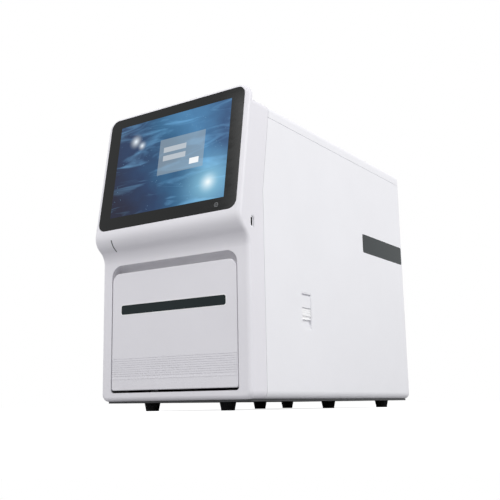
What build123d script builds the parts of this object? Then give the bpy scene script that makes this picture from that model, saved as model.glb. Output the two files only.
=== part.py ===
from build123d import *
import math
import os

# Nucleic acid extraction workstation, free-standing on six feet.
# Millimetres. X to the viewer's right, Y to the back, Z up, origin on the
# ground under the centre of the whole instrument.

# Outer body
BODY_WIDTH = 300.0
BODY_DEPTH = 592.0        # lower front face to the rear edge
BODY_HEIGHT = 470.0       # underside of the covers to the flat top
SHELL_WALL = 3.0
EDGE_RADIUS = 12.0        # long edges and rear edges of the covers
FRONT_EDGE_RADIUS = 7.0   # edge all round the front face
SEAM_GAP = 0.6
TOP_SEAM_DROP = 22.0      # how far the top cover wraps down the sides
SEAM_SETBACK = 42.0       # front frame's depth at the lower front
SEAM_SLOPE_UP = 40.0      # above the glass's lower edge, where the side seam starts to lean back
BOTTOM_SIDE = 20.0        # floor flange left at each side of the bottom opening

# Feet and base
FOOT_HEIGHT = 13.0
FOOT_TOP_RADIUS = 13.0
FOOT_TIP_RADIUS = 10.5
BASE_PLATE = 3.0
BASE_INSET = 7.0
FOOT_SIDE = 74.0          # inner rows, in from the side
FOOT_SIDE_REAR = 40.0     # rear row, in from the side
FOOT_FRONT = 45.0         # front row, behind the lower front face
FOOT_MIDDLE = 220.0       # middle row, ahead of the rear edge
FOOT_REAR = 58.0          # rear row, ahead of the rear edge

# Screen
SCREEN_TILT = 9.2         # degrees back from upright
GLASS_SIDE = 8.0          # from the glass to the side of the body
GLASS_HEIGHT = 209.0
GLASS_RADIUS = 15.0
GLASS_THICK = 2.0
GLASS_CLEARANCE = 0.4
GLASS_RECESS = 0.1
SEAT_GAP = 0.2            # between glued or taped layers
GLASS_LOW_Y = -22.0       # lower edge, from the lower front face
GLASS_DROP = 188.0        # lower edge, below the flat top
SCREEN_WALL = 3.5
RIM_TOP = 6.0
HOOD_THICK = 9.0
BUMP_SIDE = 16.0          # housing for the display's back, in from the side
BUMP_DROP = 2.0           # top, below the glass's upper edge
BUMP_LOW = 150.0          # along the screen from the glass's lower edge
BUMP_THICK = 20.0
DISPLAY_SIDE = 14.5       # display's edges, in from the glass's edges
DISPLAY_LOW = 12.5
DISPLAY_TOP = 9.5
DISPLAY_THICK = 10.0
SCREEN_WINDOW_MARGIN = 3.0
DISPLAY_BRACKET_LOW = 14.0
DISPLAY_BRACKET_DROP = 12.4  # top, below the flat top along the screen
DISPLAY_BRACKET_SIDE = 2.5
BRACKET_THICK = 2.0
BRACKET_RIM = 25.0        # left round the hole in the bracket
SCREEN_BOARD_HEIGHT = 90.0
SCREEN_BOARD_SIDE = 20.0  # board's edge, in from the display's edge
SCREEN_BOARD_GAP = 6.0

# Nose under the screen: a convex arc, then a concave arc into the front face
NOSE_DROP = 5.0           # below the glass before the curve starts
NOSE_RADIUS = 28.0
NOSE_TURN = 55.0          # steepest slope of the underside, degrees from upright

# Front door, hinged along its lower edge
OPENING_SIDE = 22.0       # frame beside the door opening
OPENING_LOW = 13.5
BROW = 57.5               # from the opening's top to the glass's lower edge
OPENING_TOP_RADIUS = 20.0
OPENING_LOW_RADIUS = 5.0
DOOR_GAP = 1.5
DOOR_LOW_GAP = 4.0
DOOR_TOP_GAP = 13.5       # finger room above the door
DOOR_TOP_RADIUS = 15.0
DOOR_LOW_RADIUS = 4.0
DOOR_DEPTH = 14.0
DOOR_WALL = 2.5
DOOR_LIP = 8.0            # height of the finger lip above the door's top wall
LINER_THICK = 6.0
LINER_SIDE = 10.0
WINDOW_SIDE = 22.0
WINDOW_DROP = 54.5        # from the door's top to the window's top
WINDOW_HEIGHT = 15.5
WINDOW_RADIUS = 3.5
WINDOW_TRIM = 1.4
TRIM_PROUD = 0.2
GROOVE_HIGH = 68.0
GROOVE_PITCH = 3.5
GROOVE_COUNT = 9
GROOVE_WIDTH = 0.9
GROOVE_DEPTH = 0.7
RIDGE_HIGH = 36.0
RIDGE_HEIGHT = 1.4
RIDGE_PROUD = 0.4
HINGE_HEIGHT = 26.0       # hinge axis above the covers' underside
HINGE_SETBACK = 10.0
HINGE_PIN_RADIUS = 2.5
HINGE_CLEARANCE = 0.05
HINGE_KNUCKLE_RADIUS = 6.0
HINGE_KNUCKLE_REACH = 28.0  # inwards from the opening's side
HINGE_BRACKET_GAP = 2.0
STRIKE_THICK = 1.2
SCOOP_RADIUS = 22.0
SCOOP_WALL = 4.0
CEILING_DROP = 19.0       # chamber's ceiling, below the door's top
CHAMBER_SHEET = 1.5
LAMP_PLACE = 150.0        # tube's axis, behind the lower front face

# Chassis
CHASSIS_SIDE = 14.0       # from the side of the body to each plate's inner face
CHASSIS_THICK = 3.0
CHASSIS_FRONT = 46.0
CHASSIS_TOP_GAP = 30.0
REAR_PANEL_RECESS = 12.0
REAR_PANEL_THICK = 2.0
REAR_PANEL_SIDE = 12.0
REAR_WINDOW_SIDE = 22.0
REAR_WINDOW_LOW = 22.0
REAR_WINDOW_TOP_DROP = 30.0
REAR_PANEL_LAP = 9.0

# Deck and its carriage
DECK_HEIGHT = 24.0        # underside of the deck plate above the covers' underside
DECK_THICK = 3.0
DECK_END = 24.0           # deck plate behind the rear pulley's axis
DECK_RAIL_IN = 38.0       # rail's axis, in from the carriage's side
RAIL_WIDTH = 12.0
RAIL_HEIGHT = 8.0
SLIDE_CLEARANCE = 0.3
BLOCK_LENGTH = 40.0
BLOCK_WIDTH = 26.0
CARRIAGE_UNDER = 16.0     # from the deck plate to the carriage's underside
CARRIAGE_THICK = 5.0
CARRIAGE_SIDE = 18.0      # between the carriage and each chassis plate
CARRIAGE_LENGTH = 216.0
CARRIAGE_FRONT = 62.0
REAR_BAY = 144.0          # behind the carriage at full travel
HEATER_THICK = 6.0
RACK_SIDE = 10.0          # rack's side, in from the carriage's side
RACK_END_WALL = 4.0
RACK_HEIGHT = 34.0
LANE_PITCH = 24.0
LANE_WIDTH = 19.0
LANE_LENGTH = 192.0
BELT_PULLEY_RADIUS = 8.0
BELT_THICK = 1.4
BELT_WIDTH = 6.0
PULLEY_INSET = 10.0
MOTOR_SIZE = 42.0
MOTOR_HEIGHT = 38.0

# Magnetic rod head
ROD_ROW = 255.0           # rods' distance behind the lower front face
GANTRY_FRONT = 302.0
GANTRY_THICK = 6.0
GANTRY_DROP = 16.0        # gantry's top below the chassis plates' top
PORTAL_SIDE = 2.0         # between the carriage and the portal
PORTAL_HEIGHT = 110.0
Z_RAIL_IN = 37.0          # rail's axis, in from the head's side
Z_RAIL_DEPTH = 9.0
BACK_PLATE_GAP = 21.0     # from the gantry's front to the sleeve carrier's rear
BACK_PLATE_THICK = 6.0
TIP_CLEARANCE = 5.0       # sleeve tips above the heater at full travel
SLEEVE_PLATE_THICK = 8.0
SLEEVE_LENGTH = 70.0
SLEEVE_RADIUS = 4.2
SLEEVE_BORE = 3.4
SLEEVE_TIP = 1.2
SLEEVE_FLANGE = 6.0
SLEEVE_FLANGE_THICK = 2.0
SLEEVE_TRAVEL = 55.0
ROD_RADIUS = 3.0
ROD_ENGAGE = 2.0          # how deep the rods sit in the sleeves at rest
MAGNET_TRAVEL = 68.0
MAGNET_STOP_GAP = 10.0    # magnet plate above the sleeve flanges at full travel
ROD_LENGTH = MAGNET_TRAVEL + MAGNET_STOP_GAP + ROD_ENGAGE
MAGNET_PLATE_THICK = 8.0
HEAD_SIDE = 1.0           # head's side, in from the rack's side
MAGNET_NUT_HEIGHT = 10.0
CARRIER_TOP_GAP = 18.0
CARRIER_TOP_THICK = 6.0
SCREW_RADIUS = 5.0
SCREW_CLEARANCE = 0.06
MAGNET_SCREW_RADIUS = 4.0
MAGNET_MOTOR_SIZE = 28.0
GUIDE_RADIUS = 4.0
BEARING_SEAT = 4.0        # depth of the seats in the sleeve plate

# Side details on the right cover
LATCH_Y = 153.0
LATCH_WIDTH = 33.0
LATCH_LOW = 111.0
LATCH_HIGH = 173.0
LATCH_RADIUS = 3.0
LATCH_DEPTH = 6.0
LATCH_TRAVEL = 8.0
PLATE_Y = 396.0
PLATE_DROP = 158.3        # from the flat top to the inlay's top
PLATE_HEIGHT = 36.2
PLATE_RADIUS = 4.0
PLATE_THICK = 1.0
USB_Y = 11.0
USB_DROP = 16.0           # below the glass's lower edge
USB_BEZEL_WIDTH = 12.5
USB_BEZEL_HEIGHT = 21.5
STATUS_SIDE = 39.0        # slot, in from the left side
STATUS_DROP = 17.0        # slot's top, below the glass's lower edge
STATUS_HEIGHT = 18.0
STATUS_WIDTH = 2.2

# Rear fittings
FAN_SIZE = 80.0
FAN_DEPTH = 25.0
FAN_SIDE = 66.0           # fan's axis, in from the rear window's side
FAN_DROP = 120.0          # below the flat top
VENT_EDGE = 32.0          # from the rear window's side to the first slots
VENT_PITCH = 9.0
INLET_SIDE = 44.0
INLET_Z = 70.0
ROCKER_TILT = 8.0         # either side of level; it rests at off
PORTS_SIDE = 68.0
PORTS_Z = 70.0
SHELF_GAP = 32.0          # electronics shelf behind the gantry
SHELF_Z = 150.0
POWER_HEIGHT = 45.0
ELECTRONICS_SIDE = 11.0   # from each chassis plate
ELECTRONICS_FRONT = 30.0  # behind the shelf's front edge
ELECTRONICS_REAR = 52.0   # ahead of the rear edge
BOARD_THICK = 1.6
BOARD_STANDOFF = 8.0

# Worked-out places
BASE_Z = FOOT_HEIGHT + BASE_PLATE
TOP_Z = BASE_Z + BODY_HEIGHT
HALF = BODY_WIDTH / 2
GLASS_WIDTH = BODY_WIDTH - 2 * GLASS_SIDE
GLASS_LOW_Z = BODY_HEIGHT - GLASS_DROP
SEAM_SLOPE_Z = GLASS_LOW_Z + SEAM_SLOPE_UP
DISPLAY_WIDTH = GLASS_WIDTH - 2 * DISPLAY_SIDE
DISPLAY_HEIGHT = GLASS_HEIGHT - DISPLAY_LOW - DISPLAY_TOP
DISPLAY_CENTRE_UP = DISPLAY_LOW + DISPLAY_HEIGHT / 2
BUMP_HALF = HALF - BUMP_SIDE
BUMP_TOP = GLASS_HEIGHT - BUMP_DROP
OPENING_WIDTH = BODY_WIDTH - 2 * OPENING_SIDE
OPENING_HIGH = GLASS_LOW_Z - BROW
DOOR_LOW = OPENING_LOW + DOOR_LOW_GAP
DOOR_HIGH = OPENING_HIGH - DOOR_TOP_GAP
LINER_WIDTH = OPENING_WIDTH - 2 * LINER_SIDE
WINDOW_WIDTH = OPENING_WIDTH - 2 * WINDOW_SIDE
WINDOW_HIGH = DOOR_HIGH - WINDOW_DROP
WINDOW_LOW = WINDOW_HIGH - WINDOW_HEIGHT
HINGE_KNUCKLE_IN = OPENING_WIDTH / 2 - HINGE_KNUCKLE_REACH
CHASSIS_HALF = HALF - CHASSIS_SIDE
CHASSIS_HEIGHT = BODY_HEIGHT - CHASSIS_TOP_GAP
BOTTOM_OPENING_HALF = HALF - BOTTOM_SIDE
REAR_PANEL_HALF = HALF - REAR_PANEL_SIDE
REAR_WINDOW_HALF = HALF - REAR_WINDOW_SIDE
CARRIAGE_WIDTH = 2 * (CHASSIS_HALF - CARRIAGE_SIDE)
CARRIAGE_TRAVEL = BODY_DEPTH - CARRIAGE_FRONT - CARRIAGE_LENGTH - REAR_BAY
RACK_WIDTH = CARRIAGE_WIDTH - 2 * RACK_SIDE
LANES = int((RACK_WIDTH - 2 * RACK_END_WALL) / LANE_PITCH)
HEAD_WIDTH = RACK_WIDTH - 2 * HEAD_SIDE
RAIL_SPACING_HALF = CARRIAGE_WIDTH / 2 - DECK_RAIL_IN
Z_RAIL_SPACING_HALF = HEAD_WIDTH / 2 - Z_RAIL_IN
GANTRY_HEIGHT = CHASSIS_HEIGHT - GANTRY_DROP
PORTAL_HALF = CARRIAGE_WIDTH / 2 + PORTAL_SIDE
STATUS_X = STATUS_SIDE - HALF
FAN_X = REAR_WINDOW_HALF - FAN_SIDE
INLET_X = INLET_SIDE - REAR_WINDOW_HALF
PORTS_X = REAR_WINDOW_HALF - PORTS_SIDE
TILT = math.radians(SCREEN_TILT)
DISPLAY_BRACKET_TOP = GLASS_DROP / math.cos(TILT) - DISPLAY_BRACKET_DROP
TURN = math.radians(NOSE_TURN)
NOSE_START = (GLASS_LOW_Y - NOSE_DROP * math.sin(TILT), GLASS_LOW_Z - NOSE_DROP * math.cos(TILT))
NOSE_REACH = -(NOSE_START[0] - NOSE_RADIUS * (1 - math.cos(TILT)))
FRONT = (NOSE_REACH - BODY_DEPTH) / 2
REAR = FRONT + BODY_DEPTH
SCREEN = Plane(
    origin=(0, FRONT + GLASS_LOW_Y, BASE_Z + GLASS_LOW_Z),
    x_dir=(1, 0, 0),
    z_dir=(0, -math.cos(TILT), math.sin(TILT)),
)
DECK_TOP = BASE_Z + DECK_HEIGHT + DECK_THICK
CARRIAGE_Z = DECK_TOP + CARRIAGE_UNDER
HEATER_Z = CARRIAGE_Z + CARRIAGE_THICK
RACK_Z = HEATER_Z + HEATER_THICK
GANTRY_Y = FRONT + GANTRY_FRONT
BACK_PLATE_Y = GANTRY_Y - BACK_PLATE_GAP
SLEEVE_Z = RACK_Z + TIP_CLEARANCE + SLEEVE_TRAVEL + SLEEVE_LENGTH
SLEEVE_TOP = SLEEVE_Z + SLEEVE_PLATE_THICK
MAGNET_PLATE_Z = SLEEVE_TOP + SLEEVE_FLANGE_THICK - ROD_ENGAGE + ROD_LENGTH
MAGNET_NUT_TOP = MAGNET_PLATE_Z + MAGNET_PLATE_THICK + MAGNET_NUT_HEIGHT
CARRIER_TOP = MAGNET_NUT_TOP + CARRIER_TOP_GAP + CARRIER_TOP_THICK
ROD_Y = FRONT + ROD_ROW
GANTRY_TOP = BASE_Z + GANTRY_HEIGHT
SHELF_FRONT = GANTRY_Y + GANTRY_THICK + SHELF_GAP
SHELF_TOP = BASE_Z + SHELF_Z + 2
LANE_XS = [(i - (LANES - 1) / 2) * LANE_PITCH for i in range(LANES)]
HINGE_Y = FRONT + HINGE_SETBACK
HINGE_Z = BASE_Z + HINGE_HEIGHT
SIDES = (-1, 1)


# Shape helpers
def block(x0, x1, y0, y1, z0, z1):
    """Box between two corners."""
    return Pos((x0 + x1) / 2, (y0 + y1) / 2, (z0 + z1) / 2) * Box(abs(x1 - x0), abs(y1 - y0), abs(z1 - z0))


def wide(half, y0, y1, z0, z1):
    """Box centred on X."""
    return block(-half, half, y0, y1, z0, z1)


def rod_x(radius, x0, x1, y, z):
    return Pos((x0 + x1) / 2, y, z) * Rot(0, 90, 0) * Cylinder(radius, abs(x1 - x0))


def rod_y(radius, x, y0, y1, z):
    return Pos(x, (y0 + y1) / 2, z) * Rot(90, 0, 0) * Cylinder(radius, abs(y1 - y0))


def rod_z(radius, x, y, z0, z1):
    return Pos(x, y, (z0 + z1) / 2) * Cylinder(radius, abs(z1 - z0))


def round_edges(solid, axis, radius, keep=lambda edge: True):
    """Fillet the edges along one axis that pass the test."""
    return fillet([e for e in solid.edges().filter_by(axis) if keep(e)], radius)


def panel_y(half, y0, y1, z0, z1, top_radius, low_radius):
    """Upright panel facing the front, with its own top and lower corner radii."""
    middle = (z0 + z1) / 2
    solid = wide(half, y0, y1, z0, z1)
    solid = round_edges(solid, Axis.Y, top_radius, lambda e: e.center().Z > middle)

    def low_corner(edge):
        return edge.center().Z < middle and abs(abs(edge.center().X) - half) < 0.01

    return round_edges(solid, Axis.Y, low_radius, low_corner)


def side_slab(x0, x1, y0, y1, z0, z1, radius):
    """Plate lying against a side wall, with rounded corners."""
    return round_edges(block(x0, x1, y0, y1, z0, z1), Axis.X, radius)


def on_screen(width, height, radius, low, high, centre_up=GLASS_HEIGHT / 2):
    """Rounded plate parallel to the screen between two depths measured outwards."""
    solid = Pos(0, centre_up, (low + high) / 2) * Box(width, height, high - low)
    return SCREEN.location * round_edges(solid, Axis.Z, radius)


def group(shapes):
    """Several separate solids of one node."""
    return Compound(children=[solid for shape in shapes for solid in shape.solids()])


def drill(solid, tools):
    for tool in tools:
        solid = solid - tool
    return solid


# Outer shape of the front
def nose_lines():
    """The tangent arcs from the screen plane down to the lower front face."""
    def upper(angle):
        y = NOSE_START[0] + NOSE_RADIUS * (math.cos(TILT) - math.cos(angle))
        z = NOSE_START[1] - NOSE_RADIUS * (math.sin(angle) + math.sin(TILT))
        return y, z

    bend = upper(TURN)
    lower_radius = -bend[0] / (1 - math.cos(TURN))

    def lower(angle):
        y = bend[0] + lower_radius * (math.cos(angle) - math.cos(TURN))
        z = bend[1] - lower_radius * (math.sin(TURN) - math.sin(angle))
        return y, z

    return [upper(-TILT), upper((TURN - TILT) / 2), bend], [bend, lower(TURN / 2), lower(0)]


def seam_points(shift=0.0):
    """Side seam from the top down, moved back by a shift."""
    low = (SEAM_SETBACK + shift, SEAM_SLOPE_Z)
    rise = BODY_HEIGHT + 1 - SEAM_SLOPE_Z
    return [(low[0] + rise * math.tan(TILT), low[1] + rise), low, (low[0], -1.0)]


def front_point(point):
    return FRONT + point[0], BASE_Z + point[1]


def lower_front_body():
    """Nose and lower front, full width, up to the flat top."""
    upper, lower = nose_lines()
    top_front = (NOSE_START[0] + (BODY_HEIGHT - NOSE_START[1]) * math.tan(TILT), BODY_HEIGHT)
    far = SEAM_SETBACK + 40.0
    corners = [lower[2], (0, 0), (far, 0), (far, BODY_HEIGHT), top_front, upper[0]]
    outline = Polyline(*[front_point(p) for p in corners])
    outline += ThreePointArc(*[front_point(p) for p in upper])
    outline += ThreePointArc(*[front_point(p) for p in lower])
    return extrude(Plane.YZ * make_face(outline), HALF, both=True)


def behind_seam(shift):
    """Everything behind the side seam, as one block."""
    back = BODY_DEPTH + 60.0
    points = seam_points(shift) + [(back, -1.0), (back, BODY_HEIGHT + 60.0)]
    first = points[0]
    points.append((first[0], BODY_HEIGHT + 60.0))
    outline = Polyline(*[front_point(p) for p in points], close=True)
    return extrude(Plane.YZ * make_face(outline), HALF + 20, both=True)


def front_outer():
    body = lower_front_body()
    body = round_edges(
        body, Axis.Y, EDGE_RADIUS,
        lambda e: abs(abs(e.center().X) - HALF) < 0.01,
    )
    hood_top = GLASS_HEIGHT + RIM_TOP
    hood_low = 60.0
    middle = Pos(0, (hood_top + hood_low) / 2, -HOOD_THICK / 2)
    hood = middle * Box(BODY_WIDTH, hood_top - hood_low, HOOD_THICK)
    hood = round_edges(hood, Axis.Z, GLASS_RADIUS + GLASS_SIDE, lambda e: e.center().Y > hood_low + 1)
    body = body + SCREEN.location * hood + display_bump(BUMP_HALF, BUMP_TOP, BUMP_THICK, 9.0)

    def on_front(edge):
        point = edge.center()
        local = SCREEN.to_local_coords(point)
        if abs(local.Z) < 0.05 and local.Y > 0:
            return True
        return point.Z < BASE_Z + NOSE_START[1] + 0.1 and point.Y < FRONT + 0.05

    body = fillet([e for e in body.edges() if on_front(e)], FRONT_EDGE_RADIUS)
    return body - behind_seam(0)


def display_bump(half, top, depth, slope):
    """Block behind the screen's upper part, with its upper rear edge sloped off."""
    bump = Pos(0, (top + BUMP_LOW) / 2, -depth / 2) * Box(2 * half, top - BUMP_LOW, depth)


    def upper_rear(edge):
        return edge.center().Y > top - 1 and edge.center().Z < 1 - depth

    bump = chamfer([e for e in bump.edges().filter_by(Axis.X) if upper_rear(e)], slope)
    return SCREEN.location * bump


def front_cavity():
    """Space inside the front frame, open to the rear and below."""
    core = lower_front_body()
    core = Pos(0, SHELL_WALL, 0) * core
    tube = wide(HALF - SHELL_WALL, FRONT - 60, REAR, BASE_Z + SHELL_WALL, TOP_Z - SHELL_WALL)
    core = core & round_edges(tube, Axis.Y, EDGE_RADIUS - SHELL_WALL)
    core = core & behind_front_wall()
    underside = wide(BOTTOM_OPENING_HALF, FRONT + 15, FRONT + 80, BASE_Z - 1, BASE_Z + SHELL_WALL + 1)
    inside_bump = display_bump(BUMP_HALF - SHELL_WALL, BUMP_TOP - SHELL_WALL, BUMP_THICK - SHELL_WALL, 7.0)
    inside_bump = inside_bump & behind_front_wall()
    return core + underside + inside_bump


def behind_front_wall():
    """Space behind the screen's wall, and all of it below the nose."""
    screen_space = SCREEN.location * (Pos(0, 150, -SCREEN_WALL - 100) * Box(BODY_WIDTH, 400, 200))
    low_space = wide(HALF, FRONT - 60, REAR, 0, BASE_Z + NOSE_START[1])
    return screen_space + low_space


def door_opening(y0, y1):
    return panel_y(
        OPENING_WIDTH / 2, y0, y1, BASE_Z + OPENING_LOW, BASE_Z + OPENING_HIGH,
        OPENING_TOP_RADIUS, OPENING_LOW_RADIUS,
    )


def usb_z():
    return BASE_Z + GLASS_LOW_Z - USB_DROP


def usb_bezel(x0, x1, grow=0.0):
    return side_slab(
        x0, x1, FRONT + USB_Y - USB_BEZEL_WIDTH / 2 - grow, FRONT + USB_Y + USB_BEZEL_WIDTH / 2 + grow,
        usb_z() - USB_BEZEL_HEIGHT / 2 - grow, usb_z() + USB_BEZEL_HEIGHT / 2 + grow,
        USB_BEZEL_WIDTH / 2 - 0.3 + grow,
    )


def status_slot():
    top = BASE_Z + GLASS_LOW_Z - STATUS_DROP
    return block(
        STATUS_X - STATUS_WIDTH / 2, STATUS_X + STATUS_WIDTH / 2, FRONT - NOSE_REACH - 5, FRONT + 12,
        top - STATUS_HEIGHT, top,
    )


def make_front_frame(wall):
    frame = wall
    frame -= on_screen(GLASS_WIDTH, GLASS_HEIGHT, GLASS_RADIUS, -GLASS_THICK - GLASS_RECESS, 5)
    frame -= on_screen(
        DISPLAY_WIDTH + 2 * SCREEN_WINDOW_MARGIN, DISPLAY_HEIGHT + 2 * SCREEN_WINDOW_MARGIN, 3,
        display_back() - SLIDE_CLEARANCE, 5, DISPLAY_CENTRE_UP,
    )
    frame -= door_opening(FRONT - 5, FRONT + SHELL_WALL + 1)
    frame -= usb_bezel(HALF - SHELL_WALL - 1, HALF + 1)
    return frame - status_slot()


# Covers
def cover_shell():
    outer = wide(HALF, FRONT - 5, REAR, BASE_Z, TOP_Z)
    inner = wide(HALF - SHELL_WALL, FRONT - 6, REAR - SHELL_WALL, BASE_Z + SHELL_WALL, TOP_Z - SHELL_WALL)

    def away_from_front(edge):
        return edge.center().Y > FRONT

    outer = fillet([e for e in outer.edges() if away_from_front(e)], EDGE_RADIUS)
    inner = fillet([e for e in inner.edges() if away_from_front(e)], EDGE_RADIUS - SHELL_WALL)
    shell = outer - inner
    shell -= wide(BOTTOM_OPENING_HALF, FRONT - 6, REAR - 22, BASE_Z - 1, BASE_Z + SHELL_WALL + 1)
    shell -= panel_y(
        REAR_WINDOW_HALF, REAR - 20, REAR + 1, BASE_Z + REAR_WINDOW_LOW, TOP_Z - REAR_WINDOW_TOP_DROP, 6, 6,
    )
    return shell & behind_seam(SEAM_GAP)


def plate_pocket(side):
    return side_slab(
        side * (HALF - PLATE_THICK), side * (HALF + 1), FRONT + PLATE_Y, REAR - EDGE_RADIUS,
        TOP_Z - PLATE_DROP - PLATE_HEIGHT, TOP_Z - PLATE_DROP, PLATE_RADIUS,
    )


def latch_window(x0, x1, grow=0.0):
    return side_slab(
        x0, x1, FRONT + LATCH_Y - grow, FRONT + LATCH_Y + LATCH_WIDTH + grow,
        BASE_Z + LATCH_LOW - grow, BASE_Z + LATCH_HIGH + grow, LATCH_RADIUS + grow,
    )


def make_covers():
    shell = cover_shell()
    seam_z = TOP_Z - TOP_SEAM_DROP
    top = shell & wide(HALF + 1, FRONT - 20, REAR + 1, seam_z, TOP_Z + 1)
    low = seam_z - SEAM_GAP
    left = shell & block(-HALF - 1, -SEAM_GAP / 2, FRONT - 20, REAR + 1, BASE_Z - 1, low)
    right = shell & block(SEAM_GAP / 2, HALF + 1, FRONT - 20, REAR + 1, BASE_Z - 1, low)
    left -= plate_pocket(-1)
    right -= plate_pocket(1)
    right -= latch_window(HALF - SHELL_WALL - 1, HALF + 1)
    return top, left, right


def make_side_plates():
    trim = 0.15
    plates = []
    for side in SIDES:
        plates.append(side_slab(
            side * (HALF - PLATE_THICK), side * HALF, FRONT + PLATE_Y + trim, REAR - EDGE_RADIUS - trim,
            TOP_Z - PLATE_DROP - PLATE_HEIGHT + trim, TOP_Z - PLATE_DROP - trim, PLATE_RADIUS,
        ))
    return group(plates)


# Side catch
def make_latch_bezel():
    """Dished bezel with a fixed upper tile and a window for the slider."""
    outer = latch_window(HALF - LATCH_DEPTH, HALF - 0.3)
    outer -= latch_window(HALF - LATCH_DEPTH + 1.5, HALF + 1, -2.0)
    y0 = FRONT + LATCH_Y + 2.0
    y1 = FRONT + LATCH_Y + LATCH_WIDTH - 2.0
    floor = HALF - LATCH_DEPTH + 1.5
    high = BASE_Z + LATCH_HIGH
    low = BASE_Z + LATCH_LOW
    tile = block(floor, HALF - 0.8, y0, y1, high - 25, high - 5)
    sill = block(floor, HALF - 1.4, y0, y1, low + 2, low + 9)
    back = latch_window(HALF - LATCH_DEPTH - 1.5, HALF - LATCH_DEPTH, 1.5)
    return outer + tile + sill + back


def make_latch_slider():
    gap = SLIDE_CLEARANCE
    y0 = FRONT + LATCH_Y + 2.0 + gap
    y1 = FRONT + LATCH_Y + LATCH_WIDTH - 2.0 - gap
    low = BASE_Z + LATCH_LOW + 9 + LATCH_TRAVEL + gap
    high = BASE_Z + LATCH_HIGH - 25 - 1.8
    slider = block(HALF - LATCH_DEPTH + 1.5 + gap, HALF - 0.6, y0, y1, low, high)
    for rise in (4.0, 7.5):
        slider -= rod_y(0.6, HALF - 0.6, y0 - 1, y1 + 1, high - rise)
    return slider - rod_y(4.0, HALF + 1.6, y0 - 1, y1 + 1, low + 3.0)


# Feet and base
def foot_places():
    rows = [
        (HALF - FOOT_SIDE, FRONT + FOOT_FRONT),
        (HALF - FOOT_SIDE, REAR - FOOT_MIDDLE),
        (HALF - FOOT_SIDE_REAR, REAR - FOOT_REAR),
    ]
    return [(side * half, y) for half, y in rows for side in SIDES]


def make_feet():
    feet = []
    for x, y in foot_places():
        foot = Pos(x, y, FOOT_HEIGHT / 2) * Cone(FOOT_TIP_RADIUS, FOOT_TOP_RADIUS, FOOT_HEIGHT)
        foot -= rod_z(5.5, x, y, -1, 7)
        foot -= rod_z(2.1, x, y, 5, FOOT_HEIGHT + 1)
        feet.append(foot)
    return group(feet)


def foot_screws():
    screws = []
    for x, y in foot_places():
        screws.append(rod_z(4.0, x, y, 4.0, 7.0) + rod_z(2.0, x, y, 7.0, BASE_Z + 6))
    return screws


def make_base_plate():
    plate = wide(HALF - BASE_INSET, FRONT + BASE_INSET, REAR - BASE_INSET, FOOT_HEIGHT, BASE_Z)
    plate = round_edges(plate, Axis.Z, 8)
    plate = drill(plate, [rod_z(2.1, x, y, FOOT_HEIGHT - 1, BASE_Z + 1) for x, y in foot_places()])
    for row in range(6):
        for side in SIDES:
            y = FRONT + 150 + row * 12
            plate -= block(side * 30, side * 75, y, y + 4, FOOT_HEIGHT - 1, BASE_Z + 1)
    return plate


# Screen stack
def make_glass():
    return on_screen(
        GLASS_WIDTH - 2 * GLASS_CLEARANCE, GLASS_HEIGHT - 2 * GLASS_CLEARANCE, GLASS_RADIUS - GLASS_CLEARANCE,
        -GLASS_THICK - GLASS_RECESS, -GLASS_RECESS,
    )


def display_back():
    """Depth of the display's rear face, negative behind the screen plane."""
    return -GLASS_THICK - GLASS_RECESS - SEAT_GAP - DISPLAY_THICK


def make_display():
    back = display_back()
    return on_screen(DISPLAY_WIDTH, DISPLAY_HEIGHT, 2, back, back + DISPLAY_THICK, DISPLAY_CENTRE_UP)


def make_display_bracket():
    back = display_back()
    half = GLASS_WIDTH / 2 - DISPLAY_BRACKET_SIDE
    top = DISPLAY_BRACKET_TOP
    middle = (top + DISPLAY_BRACKET_LOW) / 2
    height = top - DISPLAY_BRACKET_LOW
    plate = on_screen(2 * half, height, 4, back - BRACKET_THICK, back, middle)
    hole_width = DISPLAY_WIDTH - 2 * BRACKET_RIM
    hole_height = height - 2 * BRACKET_RIM
    plate -= on_screen(hole_width, hole_height, 8, back - BRACKET_THICK - 1, back + 1, middle)
    tabs = []
    for side in SIDES:
        for up in (DISPLAY_BRACKET_LOW + 20, top - 20):
            tab = Pos(side * (half - 3), up, (back - SCREEN_WALL) / 2)
            tabs.append(SCREEN.location * tab * Box(6, 20, -SCREEN_WALL - back))
    for tab in tabs:
        plate += tab
    return plate


def make_controller_board():
    back = display_back() - BRACKET_THICK
    face = back - SCREEN_BOARD_GAP
    rear = face - BOARD_THICK
    width = DISPLAY_WIDTH - 2 * SCREEN_BOARD_SIDE
    board = on_screen(width, SCREEN_BOARD_HEIGHT, 2, rear, face, DISPLAY_CENTRE_UP)
    post_up = SCREEN_BOARD_HEIGHT / 2 - 5
    for side in SIDES:
        for up in (-post_up, post_up):
            post = Pos(side * (width / 2 - 5), DISPLAY_CENTRE_UP + up, (face + back) / 2)
            board += SCREEN.location * post * Cylinder(2.5, SCREEN_BOARD_GAP)
    for x, up, w, h in ((-50, 0, 30, 30), (20, 10, 22, 22), (60, -15, 26, 18)):
        chip = Pos(x, DISPLAY_CENTRE_UP + up, rear - 2)
        board += SCREEN.location * chip * Box(w, h, 4)
    return board


def make_status_lens(wall):
    return wall & status_slot()


def make_side_usb():
    """Dished bezel and upright socket in the right wall of the front frame."""
    y = FRONT + USB_Y
    z = usb_z()
    bezel = usb_bezel(HALF - 16, HALF - 0.2, -0.15)
    bezel -= usb_bezel(HALF - 2.2, HALF + 1, -1.6)
    bezel -= block(HALF - 14, HALF, y - 2.6, y + 2.6, z - 6.6, z + 6.6)
    return bezel + block(HALF - 15, HALF - 3.5, y - 2.0, y - 0.2, z - 5.6, z + 5.6)


# Door
def door_low():
    return BASE_Z + DOOR_LOW


def door_high():
    return BASE_Z + DOOR_HIGH


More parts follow.
